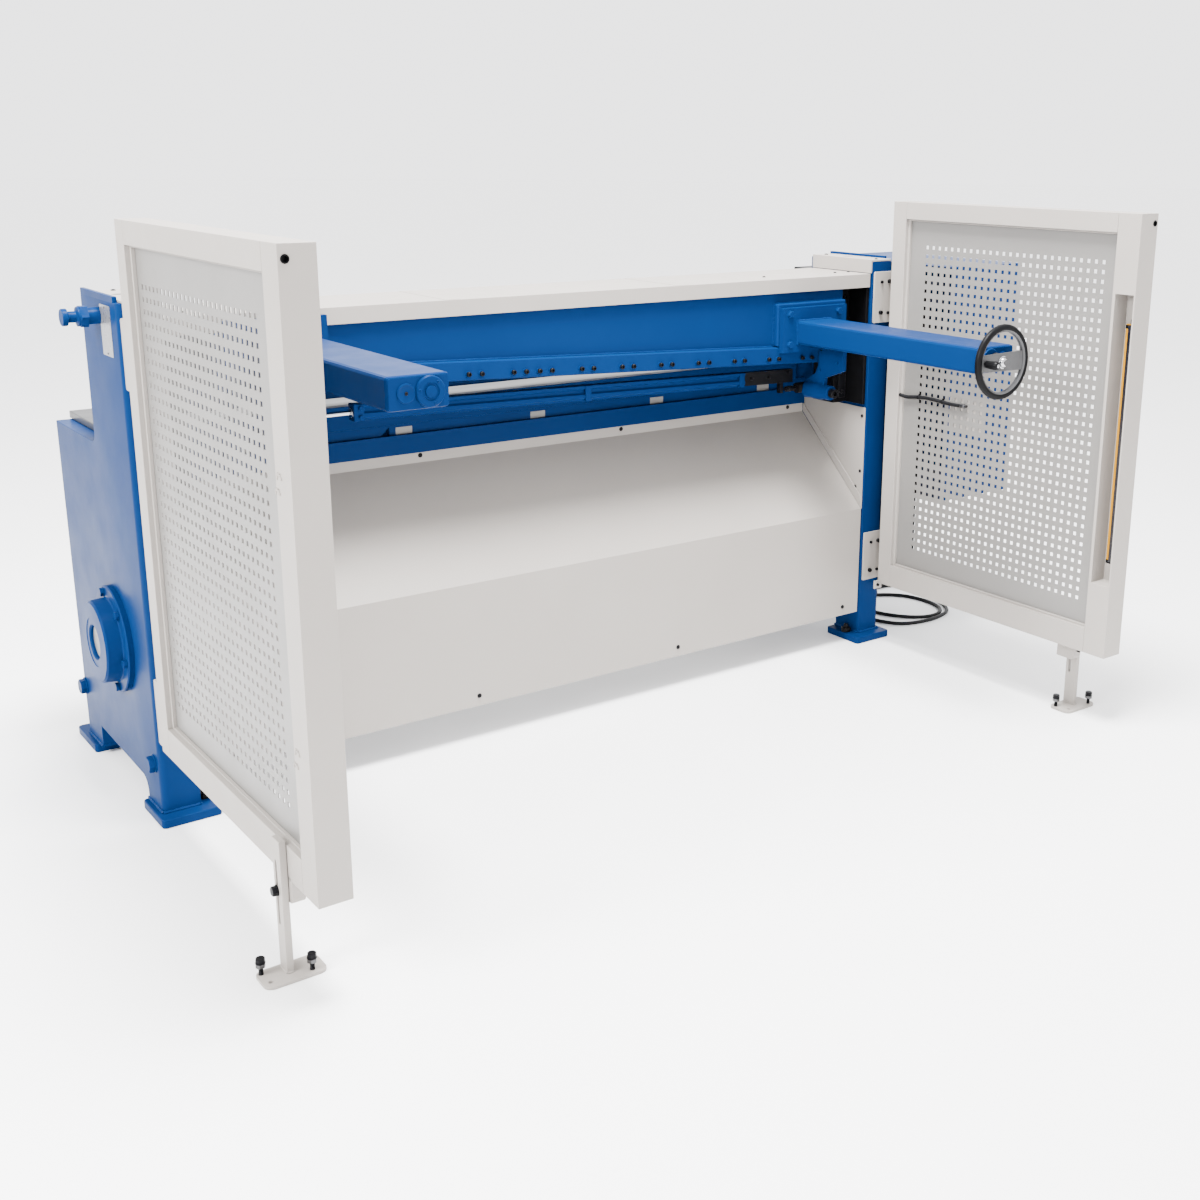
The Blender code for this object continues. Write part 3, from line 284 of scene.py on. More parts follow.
def rough_steel():
    return surface(
        "sawn_steel", (0.230, 0.222, 0.214), (60.0, 0.75), (0.42, 0.55), (700.0, 0.00010),
        metallic=0.9,
    )


def chrome():
    return surface(
        "chrome_plate", (0.420, 0.425, 0.440), (20.0, 0.90), (0.08, 0.16), (300.0, 0.00001),
        metallic=1.0,
    )


def black_plastic():
    return surface(
        "moulded_black", (0.003, 0.003, 0.0035), (30.0, 0.75), (0.30, 0.45), (1400.0, 0.00003),
        gloss=0.06,
    )


def grey_casting():
    return surface(
        "grey_spoke", (0.050, 0.050, 0.052), (25.0, 0.80), (0.34, 0.50), (600.0, 0.00006),
        gloss=0.3,
    )


def dark_steel():
    return surface(
        "black_oxide", (0.0035, 0.0035, 0.0045), (40.0, 0.70), (0.30, 0.45), (800.0, 0.00003),
        gloss=0.08,
    )


def yellow_housing():
    return surface(
        "yellow_powder_coat", (0.300, 0.135, 0.0015), (12.0, 0.90), (0.32, 0.45), (900.0, 0.00003),
        gloss=0.05,
    )


def cable_rubber():
    return surface(
        "cable_sheath", (0.006, 0.006, 0.007), (50.0, 0.75), (0.42, 0.58), (900.0, 0.00005),
        gloss=0.12,
    )


def label_foil():
    return surface(
        "plain_foil", (0.260, 0.262, 0.275), (45.0, 0.86), (0.25, 0.38), (500.0, 0.00002),
        metallic=0.7,
    )


def dark_glass():
    return surface(
        "window_strip", (0.008, 0.008, 0.010), (30.0, 0.80), (0.08, 0.14), (300.0, 0.00001),
        gloss=0.6,
    )


def pale_floor():
    return surface(
        "studio_floor", (0.840, 0.840, 0.845), (1.5, 0.992), (0.55, 0.70), (60.0, 0.00005)
    )


SLOTS = {
    "blue_paint": blue_paint(), "warm_white_paint": white_paint(), "machined_steel": machined_steel(),
    "chromed_steel": chrome(), "black_plastic": black_plastic(), "blackened_steel": dark_steel(),
    "yellow_housing": yellow_housing(), "cable_rubber": cable_rubber(),
}
ROUGH_STEEL, GREY_CASTING, LABEL_FOIL = rough_steel(), grey_casting(), label_foil()
DARK_GLASS, SHEET_PAINT = dark_glass(), sheet_paint()


# ---------------------------------------------------------------- mesh helpers
def block(bm, low, high):
    """A closed box between two corners."""
    (x0, x1), (y0, y1), (z0, z1) = (sorted(pair) for pair in zip(low, high))
    quad = ((x0, y0), (x1, y0), (x1, y1), (x0, y1))
    bottom = [bm.verts.new((x, y, z0)) for x, y in quad]
    top = [bm.verts.new((x, y, z1)) for x, y in quad]
    close(bm, [bottom, top])


def bands(bm, rings):
    """Faces between neighbouring rings of equal length."""
    for low, high in zip(rings, rings[1:]):
        for i in range(len(low)):
            j = (i + 1) % len(low)
            bm.faces.new((low[i], low[j], high[j], high[i]))


def close(bm, rings):
    """Faces between the rings, and a cap on the first and the last one."""
    bm.faces.new(rings[0])
    bm.faces.new(rings[-1])
    bands(bm, rings)


def extrude(bm, outline, axis, start, end):
    """A closed outline carried along axis: (y, z) for X, (x, z) for Y, (x, y) for Z."""
    place = {
        "X": lambda a, b, t: (t, a, b), "Y": lambda a, b, t: (a, t, b), "Z": lambda a, b, t: (a, b, t),
    }[axis]
    close(bm, [[bm.verts.new(place(a, b, t)) for a, b in outline] for t in (start, end)])


def arc(centre, radius, first, last, points):
    step = (last - first) / (points - 1)
    angles = [math.radians(first + step * i) for i in range(points)]
    return [(centre[0] + radius * math.cos(a), centre[1] + radius * math.sin(a)) for a in angles]


def rounded(low, high, radius, points=6):
    """Outline of a rectangle with round corners."""
    (a0, b0), (a1, b1) = low, high
    r = radius
    corners = ((a1 - r, b1 - r, 0), (a0 + r, b1 - r, 90), (a0 + r, b0 + r, 180), (a1 - r, b0 + r, 270))
    return [p for a, b, turn in corners for p in arc((a, b), r, turn, turn + 90, points)]


def aim(point, way):
    """The matrix that carries local +Z to a direction at a point."""
    return Matrix.Translation(Vector(point)) @ Vector(way).to_track_quat("Z", "Y").to_matrix().to_4x4()


def hex_radius(angle, radius):
    """Distance to the side of a hexagon of that corner radius."""
    part = (angle + math.pi / 6) % (math.pi / 3) - math.pi / 6
    return radius * math.cos(math.pi / 6) / math.cos(math.pi / 6 - abs(part))


def turned_rings(bm, profile, place, sides):
    """A ring about local Z for each (height, radius) or (height, corner radius, "hex") step."""
    rings = []
    for step in profile:
        ring = []
        for i in range(sides):
            angle = math.tau * i / sides
            r = hex_radius(angle, step[1]) if len(step) > 2 else step[1]
            ring.append(bm.verts.new(place @ Vector((r * math.cos(angle), r * math.sin(angle), step[0]))))
        rings.append(ring)
    return rings


def lathe(bm, profile, place, sides=24):
    """Turns the steps about local Z and closes both ends."""
    close(bm, turned_rings(bm, profile, place, sides))


def ring_solid(bm, profile, place, sides=48):
    """Turns a closed (height, radius) section about local Z, leaving the middle open."""
    rings = turned_rings(bm, profile, place, sides)
    bands(bm, rings + rings[:1])


def hex_bolt(bm, point, way, d):
    """Hexagon head on a washer, for a thread of diameter d."""
    steps = [(-0.1 * d, 0.6 * d), (0, 1.12 * d), (0.13 * d, 1.12 * d), (0.15 * d, 1.0 * d, "hex")]
    steps += [(0.70 * d, 1.0 * d, "hex"), (0.80 * d, 0.84 * d)]
    lathe(bm, steps, aim(point, way), 24)


def cap_screw(bm, point, way, d):
    """Socket head screw with an open hexagon socket."""
    steps = [(-0.1 * d, 0.76 * d), (0.82 * d, 0.76 * d), (0.92 * d, 0.68 * d), (0.92 * d, 0.48 * d, "hex")]
    steps += [(0.45 * d, 0.46 * d, "hex")]
    lathe(bm, steps, aim(point, way), 24)


def dome_screw(bm, point, way, d):
    """Button head screw with a small hexagon socket."""
    steps = [(-0.1 * d, 0.92 * d), (0.10 * d, 0.92 * d), (0.34 * d, 0.78 * d), (0.50 * d, 0.50 * d)]
    steps += [(0.52 * d, 0.36 * d, "hex"), (0.26 * d, 0.34 * d, "hex")]
    lathe(bm, steps, aim(point, way), 18)


def weld(bm, points, radius, step=0.0045):
    """A welded bead along straight runs: a thin tube whose thickness wavers."""
    places = []
    for a, b in zip(points, points[1:]):
        a, b = Vector(a), Vector(b)
        count = max(2, round((b - a).length / step))
        places += [a.lerp(b, i / count) for i in range(count)]
    places.append(Vector(points[-1]))
    rings = []
    for k, place in enumerate(places):
        way = (places[min(k + 1, len(places) - 1)] - places[max(k - 1, 0)]).normalized()
        side = way.orthogonal().normalized()
        up = way.cross(side)
        r = radius * (1 + 0.20 * math.sin(2.1 * k) + 0.12 * math.sin(0.63 * k + 1))
        angles = [math.tau * i / 6 for i in range(6)]
        rings.append([bm.verts.new(place + r * (side * math.cos(t) + up * math.sin(t))) for t in angles])
    close(bm, rings)


def smooth_route(points, count):
    """A Catmull-Rom curve through the points, read at equal steps of length."""
    pts = [Vector(p) for p in points]
    ends = [2 * pts[0] - pts[1]] + pts + [2 * pts[-1] - pts[-2]]
    dense = []
    for a, b, c, d in zip(ends, ends[1:], ends[2:], ends[3:]):
        for i in range(24):
            t = i / 24
            line = 2 * b + (c - a) * t
            curve = (2 * a - 5 * b + 4 * c - d) * t**2 + (3 * b - a - 3 * c + d) * t**3
            dense.append(0.5 * (line + curve))
    dense.append(pts[-1])
    lengths = [0.0]
    for p, q in zip(dense, dense[1:]):
        lengths.append(lengths[-1] + (q - p).length)
    result, k = [], 0
    for i in range(count):
        target = lengths[-1] * i / (count - 1)
        while k < len(dense) - 2 and lengths[k + 1] < target:
            k += 1
        part = (target - lengths[k]) / (lengths[k + 1] - lengths[k])
        result.append(dense[k].lerp(dense[k + 1], part))
    return result


def edges_rounded(obj, width, segments=2):
    bevel = obj.modifiers.new("edges", "BEVEL")
    bevel.width = width
    bevel.segments = segments
    bevel.limit_method = "ANGLE"
    bevel.angle_limit = math.radians(32)
    bevel.harden_normals = True


def linked_object(name, bm):
    """Hands the bmesh over to a new object of the scene."""
    mesh = bpy.data.meshes.new(name)
    bm.to_mesh(mesh)
    bm.free()
    obj = bpy.data.objects.new(name, mesh)
    bpy.context.scene.collection.objects.link(obj)
    return obj


def piece(name, bm, body, slot, look=None, edge=0.0, smooth=32):
    """Makes the mesh an object in its place, on its body, in its material."""
    bmesh.ops.recalc_face_normals(bm, faces=bm.faces)
    obj = linked_object(name, bm)
    obj.data.materials.append(look or SLOTS[slot])
    obj.data.shade_smooth()
    obj.location = ORIGIN
    if edge:
        edges_rounded(obj, edge)
    else:
        obj.data.set_sharp_from_angle(angle=math.radians(smooth))
    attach(obj, body)
    return obj


def carve(bm, cutters):
    """Cuts closed shapes out of a mesh; each cutter is a function that fills an empty bmesh."""
    bmesh.ops.recalc_face_normals(bm, faces=bm.faces)
    whole = linked_object("carved", bm)
    made = [whole]
    for fill in cutters:
        tool = bmesh.new()
        fill(tool)
        bmesh.ops.recalc_face_normals(tool, faces=tool.faces)
        cut = whole.modifiers.new("cut", "BOOLEAN")
        cut.operation, cut.solver, cut.object = "DIFFERENCE", "EXACT", linked_object("cutter", tool)
        made.append(cut.object)
    bpy.context.view_layer.update()
    result = bmesh.new()
    result.from_object(whole, bpy.context.evaluated_depsgraph_get())
    for obj in made:
        data = obj.data
        bpy.data.objects.remove(obj)
        bpy.data.meshes.remove(data)
    bmesh.ops.remove_doubles(result, verts=result.verts, dist=1e-6)
    return result


def screws(name, body, slot, kind, d, places):
    """One piece of equal screws; places are (point, direction) pairs."""
    bm = bmesh.new()
    for point, way in places:
        kind(bm, point, way, d)
    return piece(name, bm, body, slot)


def turned(name, body, slot, steps, place, sides):
    """One piece turned about the local Z of place."""
    bm = bmesh.new()
    lathe(bm, steps, place, sides)
    return piece(name, bm, body, slot)


def slab(name, body, slot, outline, axis, start, end, look=None, edge=0.0):
    """One piece with the same outline all along axis."""
    bm = bmesh.new()
    extrude(bm, outline, axis, start, end)
    return piece(name, bm, body, slot, look, edge)


def boxes(name, body, slot, corners, look=None, edge=0.0):
    """One piece of closed boxes, each given by two corners."""
    bm = bmesh.new()
    for low, high in corners:
        block(bm, low, high)
    return piece(name, bm, body, slot, look, edge)


# ---------------------------------------------------------------- cables
CABLE_R = 0.006
FLOOR = CABLE_R + 0.0004
CROSSING = FLOOR + 2 * CABLE_R + 0.0008
CABLE_STEPS = 400

# out of the gland, down to the floor, two turns, over the outer turn and away to the plug
SUPPLY_ROUTE = [
    (1.360, 0.300, 0.4275), (1.360, 0.300, 0.400), (1.359, 0.301, 0.330), (1.358, 0.304, 0.250),
    (1.358, 0.309, 0.170), (1.363, 0.318, 0.100), (1.380, 0.332, 0.045), (1.412, 0.346, 0.014),
    (1.452, 0.354, FLOOR), (1.500, 0.357, FLOOR), (1.550, 0.350, FLOOR), (1.587, 0.331, FLOOR),
    (1.603, 0.297, FLOOR), (1.600, 0.250, FLOOR), (1.583, 0.190, FLOOR), (1.565, 0.130, FLOOR),
    (1.540, 0.072, FLOOR), (1.503, 0.024, FLOOR), (1.450, 0.000, FLOOR), (1.385, -0.010, FLOOR),
    (1.320, -0.003, FLOOR), (1.270, 0.022, FLOOR), (1.238, 0.075, FLOOR), (1.226, 0.135, FLOOR),
    (1.234, 0.195, FLOOR), (1.262, 0.247, FLOOR), (1.310, 0.283, FLOOR), (1.370, 0.300, FLOOR),
    (1.420, 0.297, FLOOR), (1.465, 0.272, FLOOR), (1.500, 0.235, FLOOR), (1.518, 0.190, FLOOR),
    (1.524, 0.130, FLOOR), (1.510, 0.070, FLOOR), (1.472, 0.028, FLOOR), (1.418, 0.016, FLOOR),
    (1.366, 0.036, FLOOR), (1.325, 0.080, FLOOR), (1.299, 0.132, FLOOR), (1.289, 0.180, FLOOR),
    (1.287, 0.215, 0.0085), (1.288, 0.250, CROSSING), (1.290, 0.290, CROSSING), (1.292, 0.330, 0.0085),
    (1.296, 0.370, FLOOR), (1.303, 0.412, FLOOR), (1.310, 0.444, 0.0105), (1.318, 0.474, 0.0220),
    (1.326, 0.501, 0.0295), (1.3347, 0.5291, 0.0305),
]
PLUG_FROM = (1.3352, 0.5306, 0.0305)
PLUG_WAY = (0.325, 0.9457, 0.0)
CURTAIN_ROUTE = [
    (1.0940, -0.1080, 0.8085), (1.0940, -0.1160, 0.8078), (1.0955, -0.1270, 0.8060),
    (1.0978, -0.1400, 0.8055), (1.0985, -0.1560, 0.8078), (1.0985, -0.1880, 0.8112),
    (1.0985, -0.2280, 0.8126), (1.0985, -0.2700, 0.8105), (1.0985, -0.3100, 0.8083),
    (1.0985, -0.3360, 0.8085), (1.0985, -0.3560, 0.8095),
]


def make_cable(name, route, radius, count, node):
    curve = bpy.data.curves.new(name, "CURVE")
    curve.dimensions = "3D"
    curve.bevel_depth = radius
    curve.bevel_resolution = 4
    curve.use_fill_caps = True
    points = smooth_route(route, count)
    spline = curve.splines.new("POLY")
    spline.points.add(len(points) - 1)
    for point, place in zip(spline.points, points):
        point.co = (*(place + ORIGIN), 1.0)
    spline.use_smooth = True
    curve.materials.append(SLOTS["cable_rubber"])
    obj = bpy.data.objects.new(name, curve)
    bpy.context.scene.collection.objects.link(obj)
    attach(obj, "machine")
    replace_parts(obj, node)
    return obj


def make_plug():
    """Round industrial plug: ribbed gland nut, waisted body, collar and four pins."""
    place = aim(PLUG_FROM, PLUG_WAY)
    bm = bmesh.new()
    steps = [(0.0, 0.0085), (0.004, 0.0110), (0.022, 0.0155), (0.024, 0.0172), (0.030, 0.0205)]
    steps += [(0.034, 0.0220), (0.060, 0.0248), (0.064, 0.0250), (0.066, 0.0292), (0.070, 0.0300)]
    steps += [(0.112, 0.0300), (0.116, 0.0288), (0.116, 0.0262), (0.078, 0.0255)]
    lathe(bm, steps, place, 40)
    for i in range(12):
        turn = Matrix.Rotation(math.tau * i / 12, 4, "Z")
        rib = bmesh.new()
        block(rib, (0.0140, -0.0012, 0.006), (0.0172, 0.0012, 0.0225))
        rib.transform(place @ turn)
        mesh = bpy.data.meshes.new("rib")
        rib.to_mesh(mesh)
        rib.free()
        bm.from_mesh(mesh)
        bpy.data.meshes.remove(mesh)
    body = piece("supply_plug_body", bm, "machine", "black_plastic")
    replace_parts(body, "supply_plug")
    pins = bmesh.new()
    for i in range(4):
        turn = Matrix.Rotation(math.tau * (i + 0.5) / 4, 4, "Z") @ Matrix.Translation((0.013, 0, 0))
        lathe(pins, [(0.074, 0.0030), (0.108, 0.0030), (0.111, 0.0018)], place @ turn, 12)
    return [body, piece("supply_plug_pins", pins, "machine", "chromed_steel")]


def make_gland():
    steps = [(0.4670, 0.0120), (0.4588, 0.0120), (0.4588, 0.0190, "hex"), (0.4520, 0.0190, "hex")]
    steps += [(0.4505, 0.0165), (0.4450, 0.0155), (0.4440, 0.0125), (0.4360, 0.0100), (0.4278, 0.0078)]
    place = Matrix.Translation((*SUPPLY_ROUTE[0][:2], 0))
    gland = turned("cable_gland", "machine", "black_plastic", steps, place, 24)
    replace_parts(gland, "supply_gland")
    return gland


def make_supply():
    cable = make_cable("mains_cable", SUPPLY_ROUTE, CABLE_R, CABLE_STEPS, "supply_cable")
    parts = make_plug() + [make_gland()]
    points = smooth_route(SUPPLY_ROUTE, CABLE_STEPS)


def make_curtain_cable():
    make_cable("guard_cable", CURTAIN_ROUTE, 0.0055, 90, "curtain_cable")
    steps = [(-0.006, 0.0062), (0.0, 0.0064), (0.008, 0.0064), (0.010, 0.0045), (0.018, 0.0042)]
    place = aim(CURTAIN_ROUTE[-1], (0, -1, 0.05))
    turned("guard_cable_tip", "machine", "machined_steel", steps, place, 16)
    ties = bmesh.new()
    for y, z in ((-0.181, 0.8106), (-0.278, 0.8101)):
        ring_solid(ties, [(-0.0016, 0.0056), (-0.0016, 0.0066), (0.0016, 0.0066), (0.0016, 0.0056)],
                   aim((1.0985, y, z), (0, 1, 0)), 20)
        block(ties, (1.1000, y - 0.0022, z + 0.0050), (1.1052, y + 0.0022, z + 0.0095))
    piece("guard_cable_ties", ties, "machine", "black_plastic")


# ---------------------------------------------------------------- side frames
def frame_outline():
    notch = arc((FRAME_NECK + 0.022, SHOULDER_Z + 0.022), 0.022, 180, 270, 8)
    arch = arc((0.106 + 0.035, 0.072 - 0.035), 0.035, 90, 180, 8)
    return (
        [(0, FOOT_THICK - 0.002), (0, FRAME_TOP), (FRAME_NECK, FRAME_TOP)] + notch
        + [(FRAME_DEPTH, SHOULDER_Z), (FRAME_DEPTH - 0.012, FOOT_THICK - 0.002)]
        + [(0.480, FOOT_THICK - 0.002), (0.480, 0.078)] + arch + [(0.106, FOOT_THICK - 0.002)]
    )


def make_side_frame(side):
    """Welded box frame: rounded outer rear corner, inner pockets for the drive, raised outer plate."""
    sign = SIDES[side]
    bm = bmesh.new()
    extrude(bm, frame_outline(), "X", *span(side, FRAME_IN, FRAME_OUT))
    rear = [
        e for e in bm.edges
        if all(abs(v.co.y) < 1e-6 and abs(v.co.x - sign * FRAME_OUT) < 1e-6 for v in e.verts)
    ]
    bmesh.ops.bevel(bm, geom=rear, offset=0.016, segments=5, affect="EDGES", profile=0.5)
    pocket = span(side, FRAME_IN - 0.02, FRAME_OUT - 0.020)
    bore = span(side, FRAME_OUT - 0.03, FRAME_OUT + 0.02)
    bm = carve(bm, [
        lambda t: block(t, (pocket[0], 0.130, 0.245), (pocket[1], 0.360, 0.575)),
        lambda t: block(t, (pocket[0], 0.175, 0.570), (pocket[1], 0.256, 1.130)),
        lambda t: extrude(t, arc((SHAFT_Y, SHAFT_Z), 0.046, 0, 345, 24), "X", *bore),
    ])
    body = piece(f"{side}_frame_body", bm, "machine", "blue_paint", edge=0.0025)
    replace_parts(body, f"{side}_side_frame")
    lip_x = span(side, FRAME_OUT - 0.010, FRAME_OUT - 0.0002)
    corners = [((lip_x[0], 0.03, FRAME_TOP - 0.01), (lip_x[1], FRAME_NECK, FRAME_LIP))]
    boxes(f"{side}_frame_lip", "machine", "blue_paint", corners, edge=0.0015)
    feet = bmesh.new()
    x0, x1 = span(side, *FOOT_X)
    for y0, y1 in FOOT_Y:
        extrude(feet, rounded((x0, y0), (x1, y1), 0.010), "Z", 0.0, FOOT_THICK)
    piece(f"{side}_frame_feet", feet, "machine", "blue_paint", edge=0.003)
    beads = bmesh.new()
    a, b = span(side, FRAME_IN, FRAME_OUT)
    z = FOOT_THICK + 0.001
    for y0, y1 in ((0.0, 0.106), (0.480, 0.603)):
        ring = [(a, y0, z), (b, y0, z), (b, y1, z), (a, y1, z), (a, y0, z)]
        weld(beads, ring, 0.0042)
    piece(f"{side}_frame_welds", beads, "machine", "blue_paint")


def make_frame_hardware(side):
    """Bolts on the outer face, levelling bolts on the feet, screws of the cap, ram guide coloured black as
    painted shade of the opening beside the ram.
    """
    sign = SIDES[side]
    out = (sign, 0, 0)
    face = sign * FRAME_OUT
    screws(f"{side}_frame_bolts", "machine", "blue_paint", hex_bolt, 0.020,
           [((face, 0.595, 0.154), out), ((face, 0.040, 0.134), out)])
    levelling = bmesh.new()
    for y in (0.035, 0.5825):
        x = sign * 1.0430
        lathe(levelling, [(0.0215, 0.014), (0.0215, 0.016, "hex"), (0.034, 0.016, "hex"), (0.036, 0.013)],
              Matrix.Translation((x, y, 0)), 24)
        stem = [(0.034, 0.0075), (0.0460, 0.0075), (0.0480, 0.0060)]
        lathe(levelling, stem, Matrix.Translation((x, y, 0)), 16)
    piece(f"{side}_levelling_bolts", levelling, "machine", "blackened_steel")
    top = FRAME_TOP + 0.006
    screws(f"{side}_cap_screws", "machine", "blackened_steel", dome_screw, 0.006,
           [((sign * 1.090, 0.014, top), UP), ((sign * 1.088, 0.236, top), UP)])
    wall = sign * (FRAME_IN - 0.0008)
    # partly a real guide, partly painted shade: the black of these blocks stands for the shade in the opening
    # between the ram's end and the frame
    boxes(f"{side}_ram_guide_shade", "machine", "blackened_steel", [
        ((sign * 0.998, 0.085, 0.765), (wall, 0.180, 1.152)),
        ((sign * 1.050, 0.008, 0.765), (wall, 0.086, 1.152)),
    ], SLOTS["black_plastic"], edge=0.002)
    boxes(f"{side}_ram_gib", "machine", "blackened_steel", [
        ((sign * 1.010, 0.076, 0.900), (sign * 1.034, 0.086, 1.130)),
        ((sign * 1.012, 0.076, 0.780), (sign * 1.040, 0.086, 0.880)),
    ], edge=0.002)
    screws(f"{side}_gib_screws", "machine", "blackened_steel", cap_screw, 0.008,
           [((sign * 1.022, 0.076, z), REAR) for z in (0.800, 0.860, 0.930, 1.010, 1.090)])


def make_bearing(side):
    """Flange bearing with a bolted ring, a chamfered boss and the recess of the shaft end."""
    sign = SIDES[side]
    place = aim((sign * FRAME_OUT, SHAFT_Y, SHAFT_Z), (sign, 0, 0))
    bm = bmesh.new()
    section = [(0.0003, 0.0412), (0.0003, 0.1285), (0.0125, 0.1300), (0.0150, 0.1275), (0.0160, 0.1040)]
    section += [(0.0185, 0.1015), (0.0500, 0.0992), (0.0545, 0.0950), (0.0550, 0.0600), (0.0535, 0.0585)]
    section += [(0.0535, 0.0440), (0.0500, 0.0412)]
    ring_solid(bm, section, place, 64)
    body = piece(f"{side}_bearing_body", bm, "machine", "blue_paint")
    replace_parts(body, f"{side}_flange_bearing")
    places = []
    for i in range(6):
        turn = math.radians(15 + 60 * i)
        y, z = SHAFT_Y + 0.1145 * math.cos(turn), SHAFT_Z + 0.1145 * math.sin(turn)
        places.append(((sign * (FRAME_OUT + 0.0158), y, z), (sign, 0, 0)))
    screws(f"{side}_bearing_bolts", "machine", "blue_paint", hex_bolt, 0.0105, places)


def make_lifting_pin():
    place = aim((-FRAME_OUT, 0.139, 1.163), (-1, 0, 0))
    steps = [(0.0003, 0.0185), (0.026, 0.0185), (0.0265, 0.0255, "hex"), (0.042, 0.0255, "hex")]
    steps += [(0.0435, 0.0215), (0.0470, 0.0215), (0.0485, 0.0150), (0.0500, 0.0125)]
    steps += [(0.0660, 0.0125), (0.0680, 0.0180), (0.0690, 0.0190), (0.0785, 0.0190), (0.0798, 0.0178)]
    pin = turned("lifting_pin", "machine", "blue_paint", steps, place, 36)
    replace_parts(pin, "left_lifting_pin")


def make_label():
    """Blank rating plate on the left frame, held by two small rivets."""
    face = -FRAME_OUT
    outline = rounded((0.054, 1.079), (0.128, 1.190), 0.003, 4)
    slab("rating_plate", "machine", "machined_steel", outline, "X", face - 0.0010, face + 0.0005, LABEL_FOIL)
    screws("rating_plate_rivets", "machine", "machined_steel", dome_screw, 0.003,
           [((face - 0.001, 0.091, z), (-1, 0, 0)) for z in (1.0845, 1.1845)])


# ---------------------------------------------------------------- covers, table and chute
def make_top_cover():
    """Screws of the ram's top cover and the cover strips of its two joints."""
    top = machine_box("ram_top_cover")[1].z
    places = [((sign * x, 0.082, top), UP) for sign in (-1, 1) for x in (0.705, 0.985, 1.040)]
    screws("top_cover_screws", "machine", "blackened_steel", dome_screw, 0.0055, places)
    corners = [((x - 0.020, 0.004, top - 0.0005), (x + 0.020, 0.2565, top + 0.0008)) for x in (-0.352, 0.352)]
    boxes("top_cover_joints", "machine", "warm_white_paint", corners, edge=0.0003)


def make_chute_screws():
    columns = (-0.970, -0.315, 0.340, 0.990)
    for name, y, z in (("chute_flange_screws", 0.2895, 0.722), ("chute_foot_screws", 0.0, 0.123)):
        places = [((x, y, z), REAR) for x in columns]
        screws(name, "machine", "blackened_steel", dome_screw, 0.0070, places)


def make_window_light_panes():
    """Pale panes just behind the windows of the table's rear plate: painted light, standing in for the
    brightness seen through the windows.
    """
    middles = (-0.797, -0.382, 0.033, 0.448, 0.863)
    corners = [((x + 0.0005, 0.2935, 0.7850), (x + 0.0485, 0.2980, 0.8040)) for x in middles]
    # painted light: pale panes in place of the light seen through the windows
    boxes("table_window_light_panes", "machine", "warm_white_paint", corners, SHEET_PAINT)


def make_chute_side(side):
    """Gusset between the chute and its cheek, and the screws of the cheek."""
    sign = SIDES[side]
    inner = sign * (FRAME_IN - 0.0030)
    outline = [(0.0004, 0.4348), (0.2878, 0.7025), (0.2878, 0.7300), (0.0004, 0.4700)]
    slab(f"{side}_chute_gusset", "machine", "warm_white_paint", outline, "X",
         sign * 1.0546, inner - sign * GAP, edge=0.0008)
    places = [((inner, y, z), (-sign, 0, 0)) for y, z in ((0.016, 0.728), (0.016, 0.553), (0.034, 0.500))]
    screws(f"{side}_cheek_screws", "machine", "blackened_steel", dome_screw, 0.0060, places)


# ---------------------------------------------------------------- ram and back gauge
BAR_PAIRS = [0.798 - 0.1283 * i for i in range(8)] + [-0.177 - 0.1283 * i for i in range(6)]


def make_ram_hardware():
    """Socket screws of the blade holder, and the welded beads that catch the light."""
    places = []
    for middle in BAR_PAIRS:
        for x in (middle - 0.0185, middle + 0.0185):
            places.append(((x, BAR_REAR - 0.0030, BAR_MID_Z + 0.0166 - RAKE * x), REAR))
    screws("holder_bar_screws", "ram", "blackened_steel", cap_screw, 0.0080, places)
    rims = bmesh.new()
    for (x, y, z), way in places:
        ring_solid(rims, [(0, 0.0062), (0, 0.0078), (0.0035, 0.0074), (0.0035, 0.0062)],
                   aim((x, BAR_REAR + 0.0005, z), way), 20)
    piece("holder_bar_seats", rims, "ram", "blue_paint")
    beads = bmesh.new()
    edge = BAR_MID_Z + 0.0495
    y = machine_box("ram_beam")[0].y
    weld(beads, [(x, y, edge - RAKE * x) for x in (-0.945, 0.945)], 0.0028, 0.007)
    for side, sign in SIDES.items():
        z = arm_z(side)
        pad_low, pad_high = machine_box(f"{side}_arm_pad")
        near, far = sorted((abs(pad_low.x), abs(pad_high.x)))
        low, top = pad_low.z, pad_high.z
        corners = [(far, low), (near, low), (near, top), (far, top)]
        weld(beads, [(sign * x, y, height) for x, height in corners], 0.0030)
        root = -0.0245
        half = ARM_WIDE / 2
        box = [(-half, -0.034), (half, -0.034), (half, 0.034), (-half, 0.034), (-half, -0.034)]
        weld(beads, [(sign * ARM_X + a, root, z + b) for a, b in box], 0.0034)
    piece("ram_welds", beads, "ram", "blue_paint")


